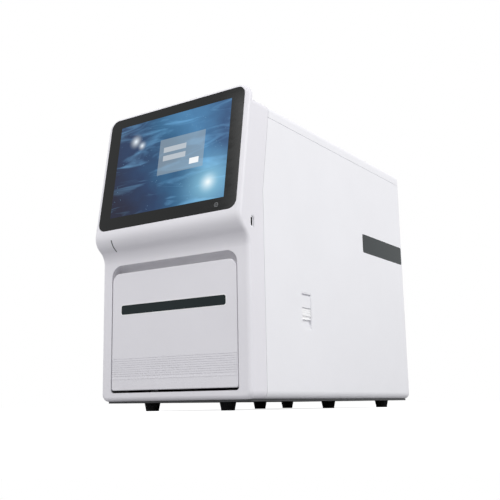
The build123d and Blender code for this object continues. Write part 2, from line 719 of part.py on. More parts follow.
def window_slab(y0, y1, grow=0.0):
    return panel_y(
        WINDOW_WIDTH / 2 + grow, y0, y1, BASE_Z + WINDOW_LOW - grow, BASE_Z + WINDOW_HIGH + grow,
        WINDOW_RADIUS + grow, WINDOW_RADIUS + grow,
    )


def make_door_panel():
    half = OPENING_WIDTH / 2 - DOOR_GAP
    rear = FRONT + DOOR_DEPTH
    top = door_high()
    door = panel_y(half, FRONT, rear, door_low(), top, DOOR_TOP_RADIUS, DOOR_LOW_RADIUS)
    door = fillet(door.faces().sort_by(Axis.Y)[0].edges(), 1.5)
    door -= wide(
        half - DOOR_WALL, FRONT + DOOR_WALL, rear + 1,
        door_low() + DOOR_WALL, top - DOOR_LIP - DOOR_WALL,
    )
    door -= wide(half + 1, FRONT + DOOR_WALL + 0.8, rear + 1, top - DOOR_LIP, top + 1)
    door -= window_slab(FRONT - 1, FRONT + DOOR_WALL + 1, WINDOW_TRIM)
    for i in range(GROOVE_COUNT):
        z = BASE_Z + GROOVE_HIGH - i * GROOVE_PITCH - GROOVE_WIDTH / 2
        door -= wide(half + 1, FRONT - 1, FRONT + GROOVE_DEPTH, z, z + GROOVE_WIDTH)
    for side in SIDES:
        inner = side * (half - DOOR_WALL - 1)
        door -= rod_x(HINGE_PIN_RADIUS + 0.5, inner, side * (half + 1), HINGE_Y, HINGE_Z)
    z = BASE_Z + RIDGE_HIGH - RIDGE_HEIGHT / 2
    return door + wide(half - 1.5, FRONT - RIDGE_PROUD, FRONT + 1, z, z + RIDGE_HEIGHT)


def make_window_trim():
    trim = window_slab(FRONT - TRIM_PROUD, FRONT + DOOR_WALL, WINDOW_TRIM)
    return trim - window_slab(FRONT - 2, FRONT + DOOR_WALL + 1)


def make_door_window():
    return window_slab(FRONT + 0.3, FRONT + DOOR_WALL)


def make_door_liner():
    y0 = FRONT + DOOR_DEPTH
    low = door_low() + 9
    high = door_high() - DOOR_LIP - 6
    liner = panel_y(LINER_WIDTH / 2, y0, y0 + LINER_THICK, low, high, 8, 4)
    liner -= window_slab(y0 - 1, y0 + LINER_THICK + 1, 2.0)
    inset = DOOR_WALL + 0.2
    rim = panel_y(
        OPENING_WIDTH / 2 - DOOR_GAP - inset, y0 - 2, y0,
        door_low() + inset, door_high() - DOOR_LIP - inset, 8, 2,
    )
    rim -= window_slab(y0 - 3, y0 + 1, 2.0)
    for side in SIDES:
        inner = side * (HINGE_KNUCKLE_IN - 4)
        outer = side * OPENING_WIDTH / 2
        liner -= block(inner, outer, y0 - 1, y0 + 3, low - 1, HINGE_Z + 8)
        rim -= block(inner, outer, y0 - 3, y0 + 1, door_low(), HINGE_Z + 12)
    return liner + rim


def make_door_seal():
    y0 = FRONT + DOOR_DEPTH + LINER_THICK
    low = door_low() + 12
    high = door_high() - DOOR_LIP - 9
    seal = panel_y(LINER_WIDTH / 2 - 3, y0, y0 + 3, low, high, 7, 4)
    return seal - panel_y(LINER_WIDTH / 2 - 8, y0 - 1, y0 + 4, low + 5, high - 5, 4, 2)


def make_hinge_knuckles():
    half = OPENING_WIDTH / 2 - DOOR_GAP - DOOR_WALL
    knuckles = []
    for side in SIDES:
        x0 = side * HINGE_KNUCKLE_IN
        x1 = side * (half - 0.3)
        barrel = rod_x(HINGE_KNUCKLE_RADIUS, x0, x1, HINGE_Y, HINGE_Z)
        leaf = block(x0, x1, FRONT + DOOR_WALL, FRONT + DOOR_WALL + 3, HINGE_Z - 3, HINGE_Z + 24)
        web = block(x0, x1, FRONT + DOOR_WALL, HINGE_Y, HINGE_Z - 3, HINGE_Z + 3)
        bore = rod_x(HINGE_PIN_RADIUS + HINGE_CLEARANCE, x0 - side, x1 + side, HINGE_Y, HINGE_Z)
        knuckles.append(barrel + leaf + web - bore)
    return group(knuckles)


def make_hinge_brackets():
    """Brackets on the chassis with the pins pressed into them."""
    brackets = []
    seat = FRONT + CHASSIS_FRONT
    high = HINGE_Z + 16
    for side in SIDES:
        inner = side * (OPENING_WIDTH / 2 + HINGE_BRACKET_GAP)
        outer = side * CHASSIS_HALF
        bracket = block(inner, outer, FRONT + SHELL_WALL + 0.3, seat - 0.3, HINGE_Z - 12, high)
        bracket += block(inner, outer, seat - 1, seat + 18, DECK_TOP, high)
        bracket += rod_x(HINGE_PIN_RADIUS, side * (HINGE_KNUCKLE_IN + 2), outer, HINGE_Y, HINGE_Z)
        brackets.append(bracket)
    return group(brackets)


def strike_z():
    return door_high() - DOOR_LIP - 24


def make_strike_plates():
    inner = LINER_WIDTH / 2 + 0.3
    outer = OPENING_WIDTH / 2 - DOOR_GAP - DOOR_WALL - 0.3
    face = FRONT + DOOR_DEPTH
    low = strike_z() - 12
    high = strike_z() + 12
    return group([block(s * inner, s * outer, face, face + STRIKE_THICK, low, high) for s in SIDES])


def make_catch_magnets():
    """Magnets on arms from the chassis that hold the closed door."""
    magnets = []
    face = FRONT + DOOR_DEPTH + STRIKE_THICK + SLIDE_CLEARANCE
    low = strike_z() - 9
    high = strike_z() + 9
    for side in SIDES:
        outer = side * CHASSIS_HALF
        magnet = block(side * (LINER_WIDTH / 2 + 1), outer, face, face + 8, low, high)
        arm = block(outer - side * 3, outer, face, FRONT + CHASSIS_FRONT + 14, low, high)
        magnets.append(magnet + arm)
    return group(magnets)


def make_finger_recess():
    """Scooped channel behind the top of the opening, for pulling the door."""
    low = door_high() - 14
    high = BASE_Z + OPENING_HIGH + SCOOP_WALL
    y0 = FRONT + SHELL_WALL
    centre_z = high - SCOOP_WALL - SCOOP_RADIUS
    solid = wide(OPENING_WIDTH / 2 + SCOOP_WALL, y0, FRONT + 2 + SCOOP_RADIUS + SCOOP_WALL, low, high)
    scoop = rod_x(SCOOP_RADIUS, -OPENING_WIDTH / 2, OPENING_WIDTH / 2, FRONT + 2, centre_z)
    scoop += wide(OPENING_WIDTH / 2, FRONT - 5, FRONT + 2 + SCOOP_RADIUS, low - 1, centre_z)
    return solid - (scoop & door_opening(FRONT - 6, FRONT + 60))


# Chassis
def make_chassis_plate(side):
    inner = side * CHASSIS_HALF
    outer = side * (CHASSIS_HALF + CHASSIS_THICK)
    rear = REAR - REAR_PANEL_RECESS - REAR_PANEL_THICK
    low = BASE_Z + SHELL_WALL
    plate = block(inner, outer, FRONT + CHASSIS_FRONT, rear, low + 0.5, BASE_Z + CHASSIS_HEIGHT)
    lean = SCREEN.location * (Pos(0, 200, 200 - SCREEN_WALL - 44) * Box(2 * BODY_WIDTH, 600, 400))
    plate -= lean & wide(BODY_WIDTH, FRONT - 60, REAR, BASE_Z + SEAM_SLOPE_Z - 60, TOP_Z)
    flange = side * (CHASSIS_HALF - 18)
    plate += block(flange, side * (CHASSIS_HALF + 1), FRONT + CHASSIS_FRONT, rear, low, low + SHELL_WALL)
    seat = side * (BOTTOM_OPENING_HALF - 1)
    plate += block(flange, seat, FRONT + CHASSIS_FRONT + 5, REAR - 24, BASE_Z, BASE_Z + 2 * SHELL_WALL)
    return plate - side_slab(
        inner - side, outer + side, FRONT + LATCH_Y - 4, FRONT + LATCH_Y + LATCH_WIDTH + 4,
        BASE_Z + LATCH_LOW - 4, BASE_Z + LATCH_HIGH + 4, 4,
    )


def crossbars():
    bars = []
    for y in (FRONT + 130, REAR - 212, REAR - 52):
        bars.append(wide(CHASSIS_HALF, y, y + 20, BASE_Z + CHASSIS_HEIGHT - 18, BASE_Z + CHASSIS_HEIGHT - 3))
    return bars


def deck_rear():
    return pulley_y()[1] + DECK_END


def make_deck_plate():
    y0 = FRONT + CHASSIS_FRONT
    low = DECK_TOP - DECK_THICK
    deck = wide(CHASSIS_HALF, y0, deck_rear(), low, DECK_TOP)
    for y in (y0 + 30, deck_rear() - 45):
        for side in SIDES:
            deck += block(side * 90, side * 105, y, y + 15, BASE_Z, low)
    return deck + motor_bracket() + idler_post()


def deck_rails():
    y0 = FRONT + CHASSIS_FRONT + 8
    rails = []
    for side in SIDES:
        x = side * RAIL_SPACING_HALF - RAIL_WIDTH / 2
        rails.append(block(x, x + RAIL_WIDTH, y0, deck_rear() - 32, DECK_TOP, DECK_TOP + RAIL_HEIGHT))
    return rails


def make_rail_blocks():
    blocks = []
    slot = RAIL_WIDTH / 2 + SLIDE_CLEARANCE
    slot_top = DECK_TOP + RAIL_HEIGHT + SLIDE_CLEARANCE
    first = FRONT + CARRIAGE_FRONT + 8
    last = FRONT + CARRIAGE_FRONT + CARRIAGE_LENGTH - 8 - BLOCK_LENGTH
    for side in SIDES:
        x = side * RAIL_SPACING_HALF
        for y0 in (first, last):
            y1 = y0 + BLOCK_LENGTH
            body = block(x - BLOCK_WIDTH / 2, x + BLOCK_WIDTH / 2, y0, y1, DECK_TOP + 2, CARRIAGE_Z)
            body -= block(x - slot, x + slot, y0 - 1, y1 + 1, DECK_TOP + 1, slot_top)
            blocks.append(body)
    return group(blocks)


def carriage_slab(z0, z1, half=CARRIAGE_WIDTH / 2):
    y0 = FRONT + CARRIAGE_FRONT
    return wide(half, y0, y0 + CARRIAGE_LENGTH, z0, z1)


def make_carriage():
    return round_edges(carriage_slab(CARRIAGE_Z, HEATER_Z), Axis.Z, 6) + belt_clamp()


def make_heater():
    return round_edges(carriage_slab(HEATER_Z, RACK_Z, RACK_WIDTH / 2), Axis.Z, 4)


def lane_y():
    y0 = FRONT + CARRIAGE_FRONT + (CARRIAGE_LENGTH - LANE_LENGTH) / 2
    return y0, y0 + LANE_LENGTH


def make_rack():
    rack = round_edges(carriage_slab(RACK_Z, RACK_Z + RACK_HEIGHT, RACK_WIDTH / 2), Axis.Z, 4)
    y0, y1 = lane_y()
    for x in LANE_XS:
        rack -= block(x - LANE_WIDTH / 2, x + LANE_WIDTH / 2, y0, y1, RACK_Z - 1, RACK_Z + RACK_HEIGHT + 1)
    return rack


def pulley_y():
    front = FRONT + CARRIAGE_FRONT + PULLEY_INSET
    rear = FRONT + CARRIAGE_FRONT + CARRIAGE_LENGTH + CARRIAGE_TRAVEL + 24
    return front, rear


def belt_z():
    middle = DECK_TOP + CARRIAGE_UNDER / 2
    return middle - BELT_WIDTH / 2, middle + BELT_WIDTH / 2


def belt_loop(radius, z0, z1):
    front, rear = pulley_y()
    loop = wide(radius, front, rear, z0, z1)
    return loop + rod_z(radius, 0, front, z0, z1) + rod_z(radius, 0, rear, z0, z1)


def make_belt():
    z0, z1 = belt_z()
    inner = BELT_PULLEY_RADIUS + SLIDE_CLEARANCE
    return belt_loop(inner + BELT_THICK, z0, z1) - belt_loop(inner, z0 - 1, z1 + 1)


def idler_post():
    """Post that the front pulley turns on."""
    y = pulley_y()[0]
    return rod_z(2.0, 0, y, DECK_TOP, belt_z()[1] + 2) + rod_z(5, 0, y, DECK_TOP, DECK_TOP + 2)


def make_idler_pulley():
    z0, z1 = belt_z()
    y = pulley_y()[0]
    wheel = rod_z(BELT_PULLEY_RADIUS, 0, y, z0 - 1, z1 + 1)
    return wheel - rod_z(2.0 + HINGE_CLEARANCE, 0, y, z0 - 2, z1 + 2)


def make_drive_pulley():
    z0, z1 = belt_z()
    y = pulley_y()[1]
    return rod_z(BELT_PULLEY_RADIUS, 0, y, z0 - 1, z1 + 1) + rod_z(2.5, 0, y, z1, CARRIAGE_Z + 3)


def motor_bracket():
    """Inverted U over the rear pulley, carrying the deck motor."""
    y = pulley_y()[1]
    half = MOTOR_SIZE / 2 + 4
    bracket = block(-half, half, y - MOTOR_SIZE / 2, y + MOTOR_SIZE / 2, DECK_TOP, CARRIAGE_Z + 3)
    bracket -= block(-half + 3, half - 3, y - MOTOR_SIZE, y + MOTOR_SIZE, DECK_TOP - 1, CARRIAGE_Z)
    return bracket - rod_z(4, 0, y, CARRIAGE_Z - 1, CARRIAGE_Z + 4)


def motor_body(x, y, z0, height):
    body = Pos(x, y, z0 + height / 2) * Box(MOTOR_SIZE, MOTOR_SIZE, height)
    return round_edges(body, Axis.Z, 4)


def deck_motor():
    y = pulley_y()[1]
    z0 = CARRIAGE_Z + 3
    return motor_body(0, y, z0, MOTOR_HEIGHT) - rod_z(3.0, 0, y, z0 - 1, z0 + 4)


def belt_clamp():
    """Fork under the carriage that grips one side of the belt."""
    z0, z1 = belt_z()
    inner = BELT_PULLEY_RADIUS
    y = FRONT + CARRIAGE_FRONT + CARRIAGE_LENGTH / 2
    outer = inner + BELT_THICK + 2 * SLIDE_CLEARANCE
    clamp = block(inner - 2, inner + BELT_THICK + 4, y - 12, y + 12, z0 - 1, CARRIAGE_Z)
    return clamp - block(inner, outer, y - 13, y + 13, z0 - 2, z1 + SLIDE_CLEARANCE)


# Magnetic rod head
def make_gantry():
    y1 = GANTRY_Y + GANTRY_THICK
    top = GANTRY_TOP
    portal = BASE_Z + PORTAL_HEIGHT
    plate = wide(CHASSIS_HALF, GANTRY_Y, y1, DECK_TOP, top)
    plate -= wide(PORTAL_HALF, GANTRY_Y - 1, y1 + 1, DECK_TOP - 1, portal)
    plate += wide(30, BACK_PLATE_Y + 0.5, GANTRY_Y, top - 50, top - 46)
    plate += wide(16, BACK_PLATE_Y + 1, GANTRY_Y, portal + 2, portal + 10)
    plate -= rod_z(SCREW_RADIUS + 1, 0, z_screw_y(), top - 51, top - 45)
    return plate - rod_z(SCREW_RADIUS + HINGE_CLEARANCE, 0, z_screw_y(), portal + 4, portal + 11)


def z_screw_y():
    return GANTRY_Y - BACK_PLATE_GAP / 2


def z_motor():
    top = GANTRY_TOP - 46
    y = z_screw_y()
    body = Pos(0, y, top + 16) * Box(MOTOR_SIZE, BACK_PLATE_GAP - 1, 32)
    return round_edges(body, Axis.Z, 3) - rod_z(SCREW_RADIUS + 0.5, 0, y, top - 1, top + 6)


def make_z_screw():
    return rod_z(SCREW_RADIUS, 0, z_screw_y(), BASE_Z + PORTAL_HEIGHT + 4.3, GANTRY_TOP - 42)


def z_rails():
    rails = []
    low = BASE_Z + PORTAL_HEIGHT + 4
    for side in SIDES:
        x = side * Z_RAIL_SPACING_HALF - RAIL_WIDTH / 2
        rails.append(block(x, x + RAIL_WIDTH, GANTRY_Y - Z_RAIL_DEPTH, GANTRY_Y, low, GANTRY_TOP - 60))
    return rails


def make_z_blocks():
    blocks = []
    slot = RAIL_WIDTH / 2 + SLIDE_CLEARANCE
    slot_y = GANTRY_Y - Z_RAIL_DEPTH - SLIDE_CLEARANCE
    half = BLOCK_WIDTH / 2
    for side in SIDES:
        x = side * Z_RAIL_SPACING_HALF
        for z0 in (SLEEVE_Z + 4, SLEEVE_Z + 80):
            z1 = z0 + BLOCK_LENGTH
            body = block(x - half, x + half, BACK_PLATE_Y, GANTRY_Y - 2, z0, z1)
            blocks.append(body - block(x - slot, x + slot, slot_y, GANTRY_Y, z0 - 1, z1 + 1))
    return group(blocks)


def magnet_screw_y():
    return BACK_PLATE_Y - BACK_PLATE_THICK - 9


def guide_xs():
    return [side * (HEAD_WIDTH / 2 - 12) for side in SIDES]


def make_sleeve_carrier():
    """Sleeve plate, back plate and top bracket in one bent and welded part."""
    half = HEAD_WIDTH / 2
    front = ROD_Y - 15
    back0 = BACK_PLATE_Y - BACK_PLATE_THICK
    top = CARRIER_TOP
    bearing_y = magnet_screw_y()
    seat = SLEEVE_TOP - BEARING_SEAT
    carrier = wide(half, front, BACK_PLATE_Y, SLEEVE_Z, SLEEVE_TOP)
    carrier += wide(half, back0, BACK_PLATE_Y, SLEEVE_Z, top)
    carrier += wide(half, back0 - 18, BACK_PLATE_Y, top - CARRIER_TOP_THICK, top)
    carrier += z_nut()
    holes = [rod_z(SLEEVE_RADIUS + 0.1, x, ROD_Y, SLEEVE_Z - 1, SLEEVE_TOP + 1) for x in LANE_XS]
    holes += [rod_z(GUIDE_RADIUS, x, bearing_y, seat, SLEEVE_TOP + 1) for x in guide_xs()]
    holes.append(rod_z(MAGNET_SCREW_RADIUS + 0.5, 0, bearing_y, top - CARRIER_TOP_THICK - 1, top + 1))
    holes.append(rod_z(MAGNET_SCREW_RADIUS + HINGE_CLEARANCE, 0, bearing_y, seat, SLEEVE_TOP + 1))
    return drill(carrier, holes)


def z_nut():
    y0 = BACK_PLATE_Y
    nut = wide(14, y0, GANTRY_Y - 1.5, SLEEVE_Z + 50, SLEEVE_Z + 72)
    return nut - rod_z(SCREW_RADIUS + SCREW_CLEARANCE, 0, z_screw_y(), SLEEVE_Z + 49, SLEEVE_Z + 73)


def make_sleeves():
    sleeves = []
    for x in LANE_XS:
        low = SLEEVE_Z - SLEEVE_LENGTH
        tube = rod_z(SLEEVE_RADIUS, x, ROD_Y, low, SLEEVE_TOP + SLEEVE_FLANGE_THICK)
        tube = fillet(tube.edges().sort_by(Axis.Z)[0], 2.5)
        tube += rod_z(SLEEVE_FLANGE, x, ROD_Y, SLEEVE_TOP, SLEEVE_TOP + SLEEVE_FLANGE_THICK)
        sleeves.append(tube - rod_z(SLEEVE_BORE, x, ROD_Y, low + SLEEVE_TIP, SLEEVE_TOP + 3))
    return group(sleeves)


def make_guide_shafts():
    low = SLEEVE_TOP - BEARING_SEAT
    top = CARRIER_TOP - CARRIER_TOP_THICK
    return group([rod_z(GUIDE_RADIUS, x, magnet_screw_y(), low, top) for x in guide_xs()])


def make_magnet_carrier():
    z0 = MAGNET_PLATE_Z
    z1 = z0 + MAGNET_PLATE_THICK
    rear = BACK_PLATE_Y - BACK_PLATE_THICK - 1
    screw_y = magnet_screw_y()
    plate = wide(HEAD_WIDTH / 2, ROD_Y - 13, rear, z0, z1)
    plate += wide(12, ROD_Y + 8, rear, z0, MAGNET_NUT_TOP)
    holes = [rod_z(ROD_RADIUS, x, ROD_Y, z0 - 1, z1 - 2) for x in LANE_XS]
    holes += [rod_z(GUIDE_RADIUS + SCREW_CLEARANCE, x, screw_y, z0 - 1, z1 + 1) for x in guide_xs()]
    holes.append(rod_z(MAGNET_SCREW_RADIUS + SCREW_CLEARANCE, 0, screw_y, z0 - 1, MAGNET_NUT_TOP + 1))
    return drill(plate, holes)


def make_magnet_rods():
    z0 = MAGNET_PLATE_Z
    rods = []
    for x in LANE_XS:
        rod = rod_z(ROD_RADIUS, x, ROD_Y, z0 - ROD_LENGTH, z0 + MAGNET_PLATE_THICK - 2)
        rods.append(fillet(rod.edges().sort_by(Axis.Z)[0], 1.5))
    return group(rods)


def make_magnet_screw():
    low = SLEEVE_TOP - BEARING_SEAT + SLIDE_CLEARANCE
    return rod_z(MAGNET_SCREW_RADIUS, 0, magnet_screw_y(), low, CARRIER_TOP + 4)


def make_magnet_motor():
    z0 = CARRIER_TOP
    size = MAGNET_MOTOR_SIZE
    body = Pos(0, magnet_screw_y(), z0 + size / 2) * Box(size, size, size)
    return round_edges(body, Axis.Z, 3) - rod_z(MAGNET_SCREW_RADIUS + 0.5, 0, magnet_screw_y(), z0 - 1, z0 + 5)


# Chamber
def make_chamber_liner():
    """White sheet lining of the loading chamber: two sides and a ceiling."""
    y0 = FRONT + DOOR_DEPTH + LINER_THICK + 4.3
    y1 = FRONT + ROD_ROW - 22
    half = CHASSIS_HALF - 6
    top = ceiling_z()
    notch = FRONT + CHASSIS_FRONT + 20
    sheet = wide(half, y0, y1, DECK_TOP, top)
    sheet -= wide(half - CHAMBER_SHEET, y0 - 1, y1 + 1, DECK_TOP - 1, top - CHAMBER_SHEET)
    for side in SIDES:
        sheet -= block(side * (half - 2), side * (half + 1), y0 - 1, notch, DECK_TOP - 1, HINGE_Z + 20)
        for y in (y1 - 40, y0 + 40):
            sheet += block(side * half, side * CHASSIS_HALF, y, y + 12, top - 20, top - 8)
    return sheet


def ceiling_z():
    return door_high() - CEILING_DROP


def make_uv_lamp():
    """Ultraviolet tube in two end holders under the chamber's ceiling."""
    y = FRONT + LAMP_PLACE
    z = ceiling_z() - CHAMBER_SHEET
    end = RACK_WIDTH / 2 - 14
    lamp = rod_x(7.5, 10 - end, end - 10, y, z - 14)
    for side in SIDES:
        lamp += block(side * (end - 14), side * end, y - 10, y + 10, z - 24, z)
    return lamp


# Electronics
def electronics_shelf():
    y1 = REAR - REAR_PANEL_RECESS - REAR_PANEL_THICK
    shelf = wide(CHASSIS_HALF, SHELF_FRONT, y1, BASE_Z + SHELF_Z, SHELF_TOP)
    for i in range(5):
        y = SHELF_FRONT + 20 + i * 14
        shelf -= wide(60, y, y + 5, BASE_Z + SHELF_Z - 1, SHELF_TOP + 1)
    return shelf


def electronics_y():
    return SHELF_FRONT + ELECTRONICS_FRONT, REAR - ELECTRONICS_REAR


def make_power_supply():
    y0, y1 = electronics_y()
    x0 = ELECTRONICS_SIDE - CHASSIS_HALF
    x1 = -15
    top = SHELF_TOP + POWER_HEIGHT
    body = block(x0, x1, y0, y1, SHELF_TOP, top)
    for i in range(int((y1 - y0 - 26) / 12)):
        y = y0 + 15 + i * 12
        body -= block(x0 + 15, x1 - 15, y, y + 5, top - 1.5, top + 1)
    return body


def make_main_board():
    y0, y1 = electronics_y()
    x0 = 5
    x1 = CHASSIS_HALF - ELECTRONICS_SIDE
    low = SHELF_TOP + BOARD_STANDOFF
    top = low + BOARD_THICK
    board = block(x0, x1, y0, y1, low, top)
    for x in (x0 + 7, x1 - 7):
        for y in (y0 + 8, y1 - 8):
            board += rod_z(3, x, y, SHELF_TOP, low)
    large = ((x0 + 35, y0 + 30, 30, 30, 5), (x1 - 35, y0 + 40, 20, 20, 4))
    tall = ((x0 + 45, y1 - 70, 24, 36, 12), (x1 - 25, y1 - 60, 14, 50, 10))
    for x, y, across, deep, high in large + tall:
        board += block(x - across / 2, x + across / 2, y - deep / 2, y + deep / 2, top, top + high)
    return board


# Rear
def fan_place():
    return FAN_X, TOP_Z - FAN_DROP


def panel_face():
    """Outer face of the recessed rear panel."""
    return REAR - REAR_PANEL_RECESS


def make_rear_panel():
    y0 = panel_face() - REAR_PANEL_THICK
    y1 = REAR - SHELL_WALL
    low = BASE_Z + REAR_WINDOW_LOW - REAR_PANEL_LAP
    high = TOP_Z - REAR_WINDOW_TOP_DROP + REAR_PANEL_LAP
    pan = wide(REAR_PANEL_HALF, y0, y1, low, high)
    pan -= wide(REAR_PANEL_HALF - 2, panel_face(), y1 + 1, low + 2, high - 2)
    x, z = fan_place()
    pan -= rod_y(FAN_SIZE / 2 - 3, x, y0 - 1, y1, z)
    first = VENT_EDGE - REAR_WINDOW_HALF
    last = x - FAN_SIZE / 2 - 16
    width = (last - first - 10) / 2
    for column in (first, last - width):
        for row in range(14):
            z0 = z - 60 + row * VENT_PITCH
            pan -= block(column, column + width, y0 - 1, panel_face() + 1, z0, z0 + 4)
    pan -= inlet_body(y0 - 1, y1 + 1)
    pan -= ports_body(y0 - 1, y1 + 1)
    return drill(pan, [rod_y(1.6, x, y0 - 1, panel_face() + 1, z) for x, z in panel_screw_places()])


def panel_screw_places():
    low = BASE_Z + REAR_WINDOW_LOW + 12
    high = TOP_Z - REAR_WINDOW_TOP_DROP - 12
    return [(s * (REAR_WINDOW_HALF - 8), z) for s in SIDES for z in (low, (low + high) / 2, high)]


def panel_screws():
    screws = []
    for x, z in panel_screw_places():
        screw = rod_y(3.0, x, panel_face(), panel_face() + 2, z)
        screw += rod_y(1.5, x, panel_face() - REAR_PANEL_THICK - 4, panel_face(), z)
        screws.append(screw)
    return screws


def make_fan_frame():
    x, z = fan_place()
    y1 = panel_face() - REAR_PANEL_THICK
    y0 = y1 - FAN_DEPTH
    half = FAN_SIZE / 2
    frame = round_edges(block(x - half, x + half, y0, y1, z - half, z + half), Axis.Y, 4)
    frame -= rod_y(half - 2.5, x, y0 - 1, y1 + 1, z)
    hub = rod_y(18, x, y0, y0 + 4, z)
    frame += hub + rod_y(2, x, y0, y1 - 6, z)
    for turn in (45, 135):
        strut = Pos(x, y0 + 2, z) * Rot(0, turn, 0) * Box(2 * half - 2, 4, 4)
        frame += strut
    return frame


def make_fan_rotor():
    x, z = fan_place()
    y1 = panel_face() - REAR_PANEL_THICK - 2
    y0 = y1 - FAN_DEPTH + 2 + 4.5
    hub = rod_y(17, x, y0, y1, z)
    blade = Pos(26, 0, 0) * Rot(35, 0, 0) * Box(22, 1.6, 18)
    rotor = hub
    for i in range(7):
        rotor += Pos(x, (y0 + y1) / 2, z) * Rot(0, i * 360 / 7, 0) * blade
    rotor = rotor & rod_y(FAN_SIZE / 2 - 4, x, y0, y1, z)
    return rotor - rod_y(2 + HINGE_CLEARANCE, x, y0 - 1, y1 - 3, z)


def make_fan_guard():
    x, z = fan_place()
    y0 = panel_face()
    guard = None
    for radius in (37, 29, 21, 13):
        ring = rod_y(radius + 1, x, y0 + 1, y0 + 3, z) - rod_y(radius - 1, x, y0, y0 + 4, z)
        guard = ring if guard is None else guard + ring
    for turn in (0, 60, 120):
        guard += Pos(x, y0 + 2, z) * Rot(0, turn, 0) * Box(92, 2, 2)
    for i in range(6):
        angle = math.radians(60 * i)
        guard += rod_y(3, x + 46 * math.cos(angle), y0, y0 + 3, z + 46 * math.sin(angle))
    return guard


def inlet_body(y0, y1, grow=0.0):
    z = BASE_Z + INLET_Z
    return block(INLET_X - 24 - grow, INLET_X + 24 + grow, y0, y1, z - 30 - grow, z + 30 + grow)


def rocker_box(y0, y1, grow=0.0):
    z = BASE_Z + INLET_Z + 15
    return block(INLET_X - 10 - grow, INLET_X + 10 + grow, y0, y1, z - 6.5 - grow, z + 6.5 + grow)


def make_power_inlet():
    face = panel_face()
    z = BASE_Z + INLET_Z
    body = inlet_body(face - 26, face, -0.2) + inlet_body(face, face + 2, 3)
    body -= block(INLET_X - 12.2, INLET_X + 12.2, face - 16, face + 3, z - 21, z - 5)
    for x, dz in ((-7, -11), (7, -11), (0, -15)):
        body += block(INLET_X + x - 1, INLET_X + x + 1, face - 17, face - 2, z + dz - 2, z + dz + 2)
    return body - rocker_box(face - 14, face + 3, 0.5)


def make_power_rocker():
    face = panel_face()
    z = BASE_Z + INLET_Z + 15
    key = rod_x(9.0, INLET_X - 10, INLET_X + 10, face - 4.5, z) & rocker_box(face - 6, face + 5, -0.6)
    pivot = Axis((INLET_X, face - 4.5, z), (1, 0, 0))
    return key.rotate(pivot, -ROCKER_TILT)


def ports_body(y0, y1, grow=0.0):
    z = BASE_Z + PORTS_Z
    return block(PORTS_X - 34 - grow, PORTS_X + 34 + grow, y0, y1, z - 12 - grow, z + 12 + grow)


def make_rear_ports():
    face = panel_face()
    z = BASE_Z + PORTS_Z
    body = ports_body(face - 18, face, -0.2) + ports_body(face, face + 1.5, 2)
    body -= block(PORTS_X - 28, PORTS_X - 15, face - 14, face + 2, z - 4.5, z + 4.5)
    for x in (0, 20):
        body -= block(PORTS_X + x - 2.8, PORTS_X + x + 2.8, face - 13, face + 2, z - 6.6, z + 6.6)
        body += block(PORTS_X + x - 2.0, PORTS_X + x - 0.2, face - 14, face - 1, z - 5.6, z + 5.6)
    return body


def build_nodes():
    """Every node of the instrument by name."""
    wall = front_outer() - front_cavity()
    top_cover, left_cover, right_cover = make_covers()
    return {
        "front_frame": make_front_frame(wall),
        "top_cover": top_cover,
        "left_side_cover": left_cover,
        "right_side_cover": right_cover,
        "side_plates": make_side_plates(),
        "latch_bezel": make_latch_bezel(),
        "latch_slider": make_latch_slider(),
        "feet": make_feet(),
        "base_plate": make_base_plate(),
        "touch_glass": make_glass(),
        "display_module": make_display(),
        "display_bracket": make_display_bracket(),
        "controller_board": make_controller_board(),
        "status_light_lens": make_status_lens(wall),
        "side_usb_port": make_side_usb(),
        "door_panel": make_door_panel(),
        "door_window_trim": make_window_trim(),
        "door_window": make_door_window(),
        "door_liner": make_door_liner(),
        "door_seal": make_door_seal(),
        "hinge_knuckles": make_hinge_knuckles(),
        "hinge_brackets": make_hinge_brackets(),
        "strike_plates": make_strike_plates(),
        "catch_magnets": make_catch_magnets(),
        "finger_recess": make_finger_recess(),
        "left_chassis_plate": make_chassis_plate(-1),
        "right_chassis_plate": make_chassis_plate(1),
        "chassis_braces": group(crossbars() + [electronics_shelf()]),
        "deck_plate": make_deck_plate(),
        "linear_rails": group(deck_rails() + z_rails()),
        "deck_rail_blocks": make_rail_blocks(),
        "deck_carriage": make_carriage(),
        "heater_plate": make_heater(),
        "cartridge_rack": make_rack(),
        "drive_belt": make_belt(),
        "idler_pulley": make_idler_pulley(),
        "drive_pulley": make_drive_pulley(),
        "stepper_motors": group([deck_motor(), z_motor()]),
        "gantry_plate": make_gantry(),
        "z_rail_blocks": make_z_blocks(),
        "z_screw": make_z_screw(),
        "sleeve_carrier": make_sleeve_carrier(),
        "rod_sleeves": make_sleeves(),
        "guide_shafts": make_guide_shafts(),
        "magnet_carrier": make_magnet_carrier(),
        "magnet_rods": make_magnet_rods(),
        "magnet_screw": make_magnet_screw(),
        "magnet_motor": make_magnet_motor(),
        "chamber_liner": make_chamber_liner(),
        "uv_lamp": make_uv_lamp(),
        "power_supply": make_power_supply(),
        "main_board": make_main_board(),
        "rear_panel": make_rear_panel(),
        "screws": group(foot_screws() + panel_screws()),
        "fan_frame": make_fan_frame(),
        "fan_rotor": make_fan_rotor(),
        "fan_guard": make_fan_guard(),
        "power_inlet": make_power_inlet(),
        "power_rocker": make_power_rocker(),
        "rear_ports": make_rear_ports(),
    }


os.makedirs("parts", exist_ok=True)
for node_name, node_shape in build_nodes().items():
    export_step(node_shape, f"parts/{node_name}.step")
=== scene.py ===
import math

import bpy
from mathutils import Matrix, Vector


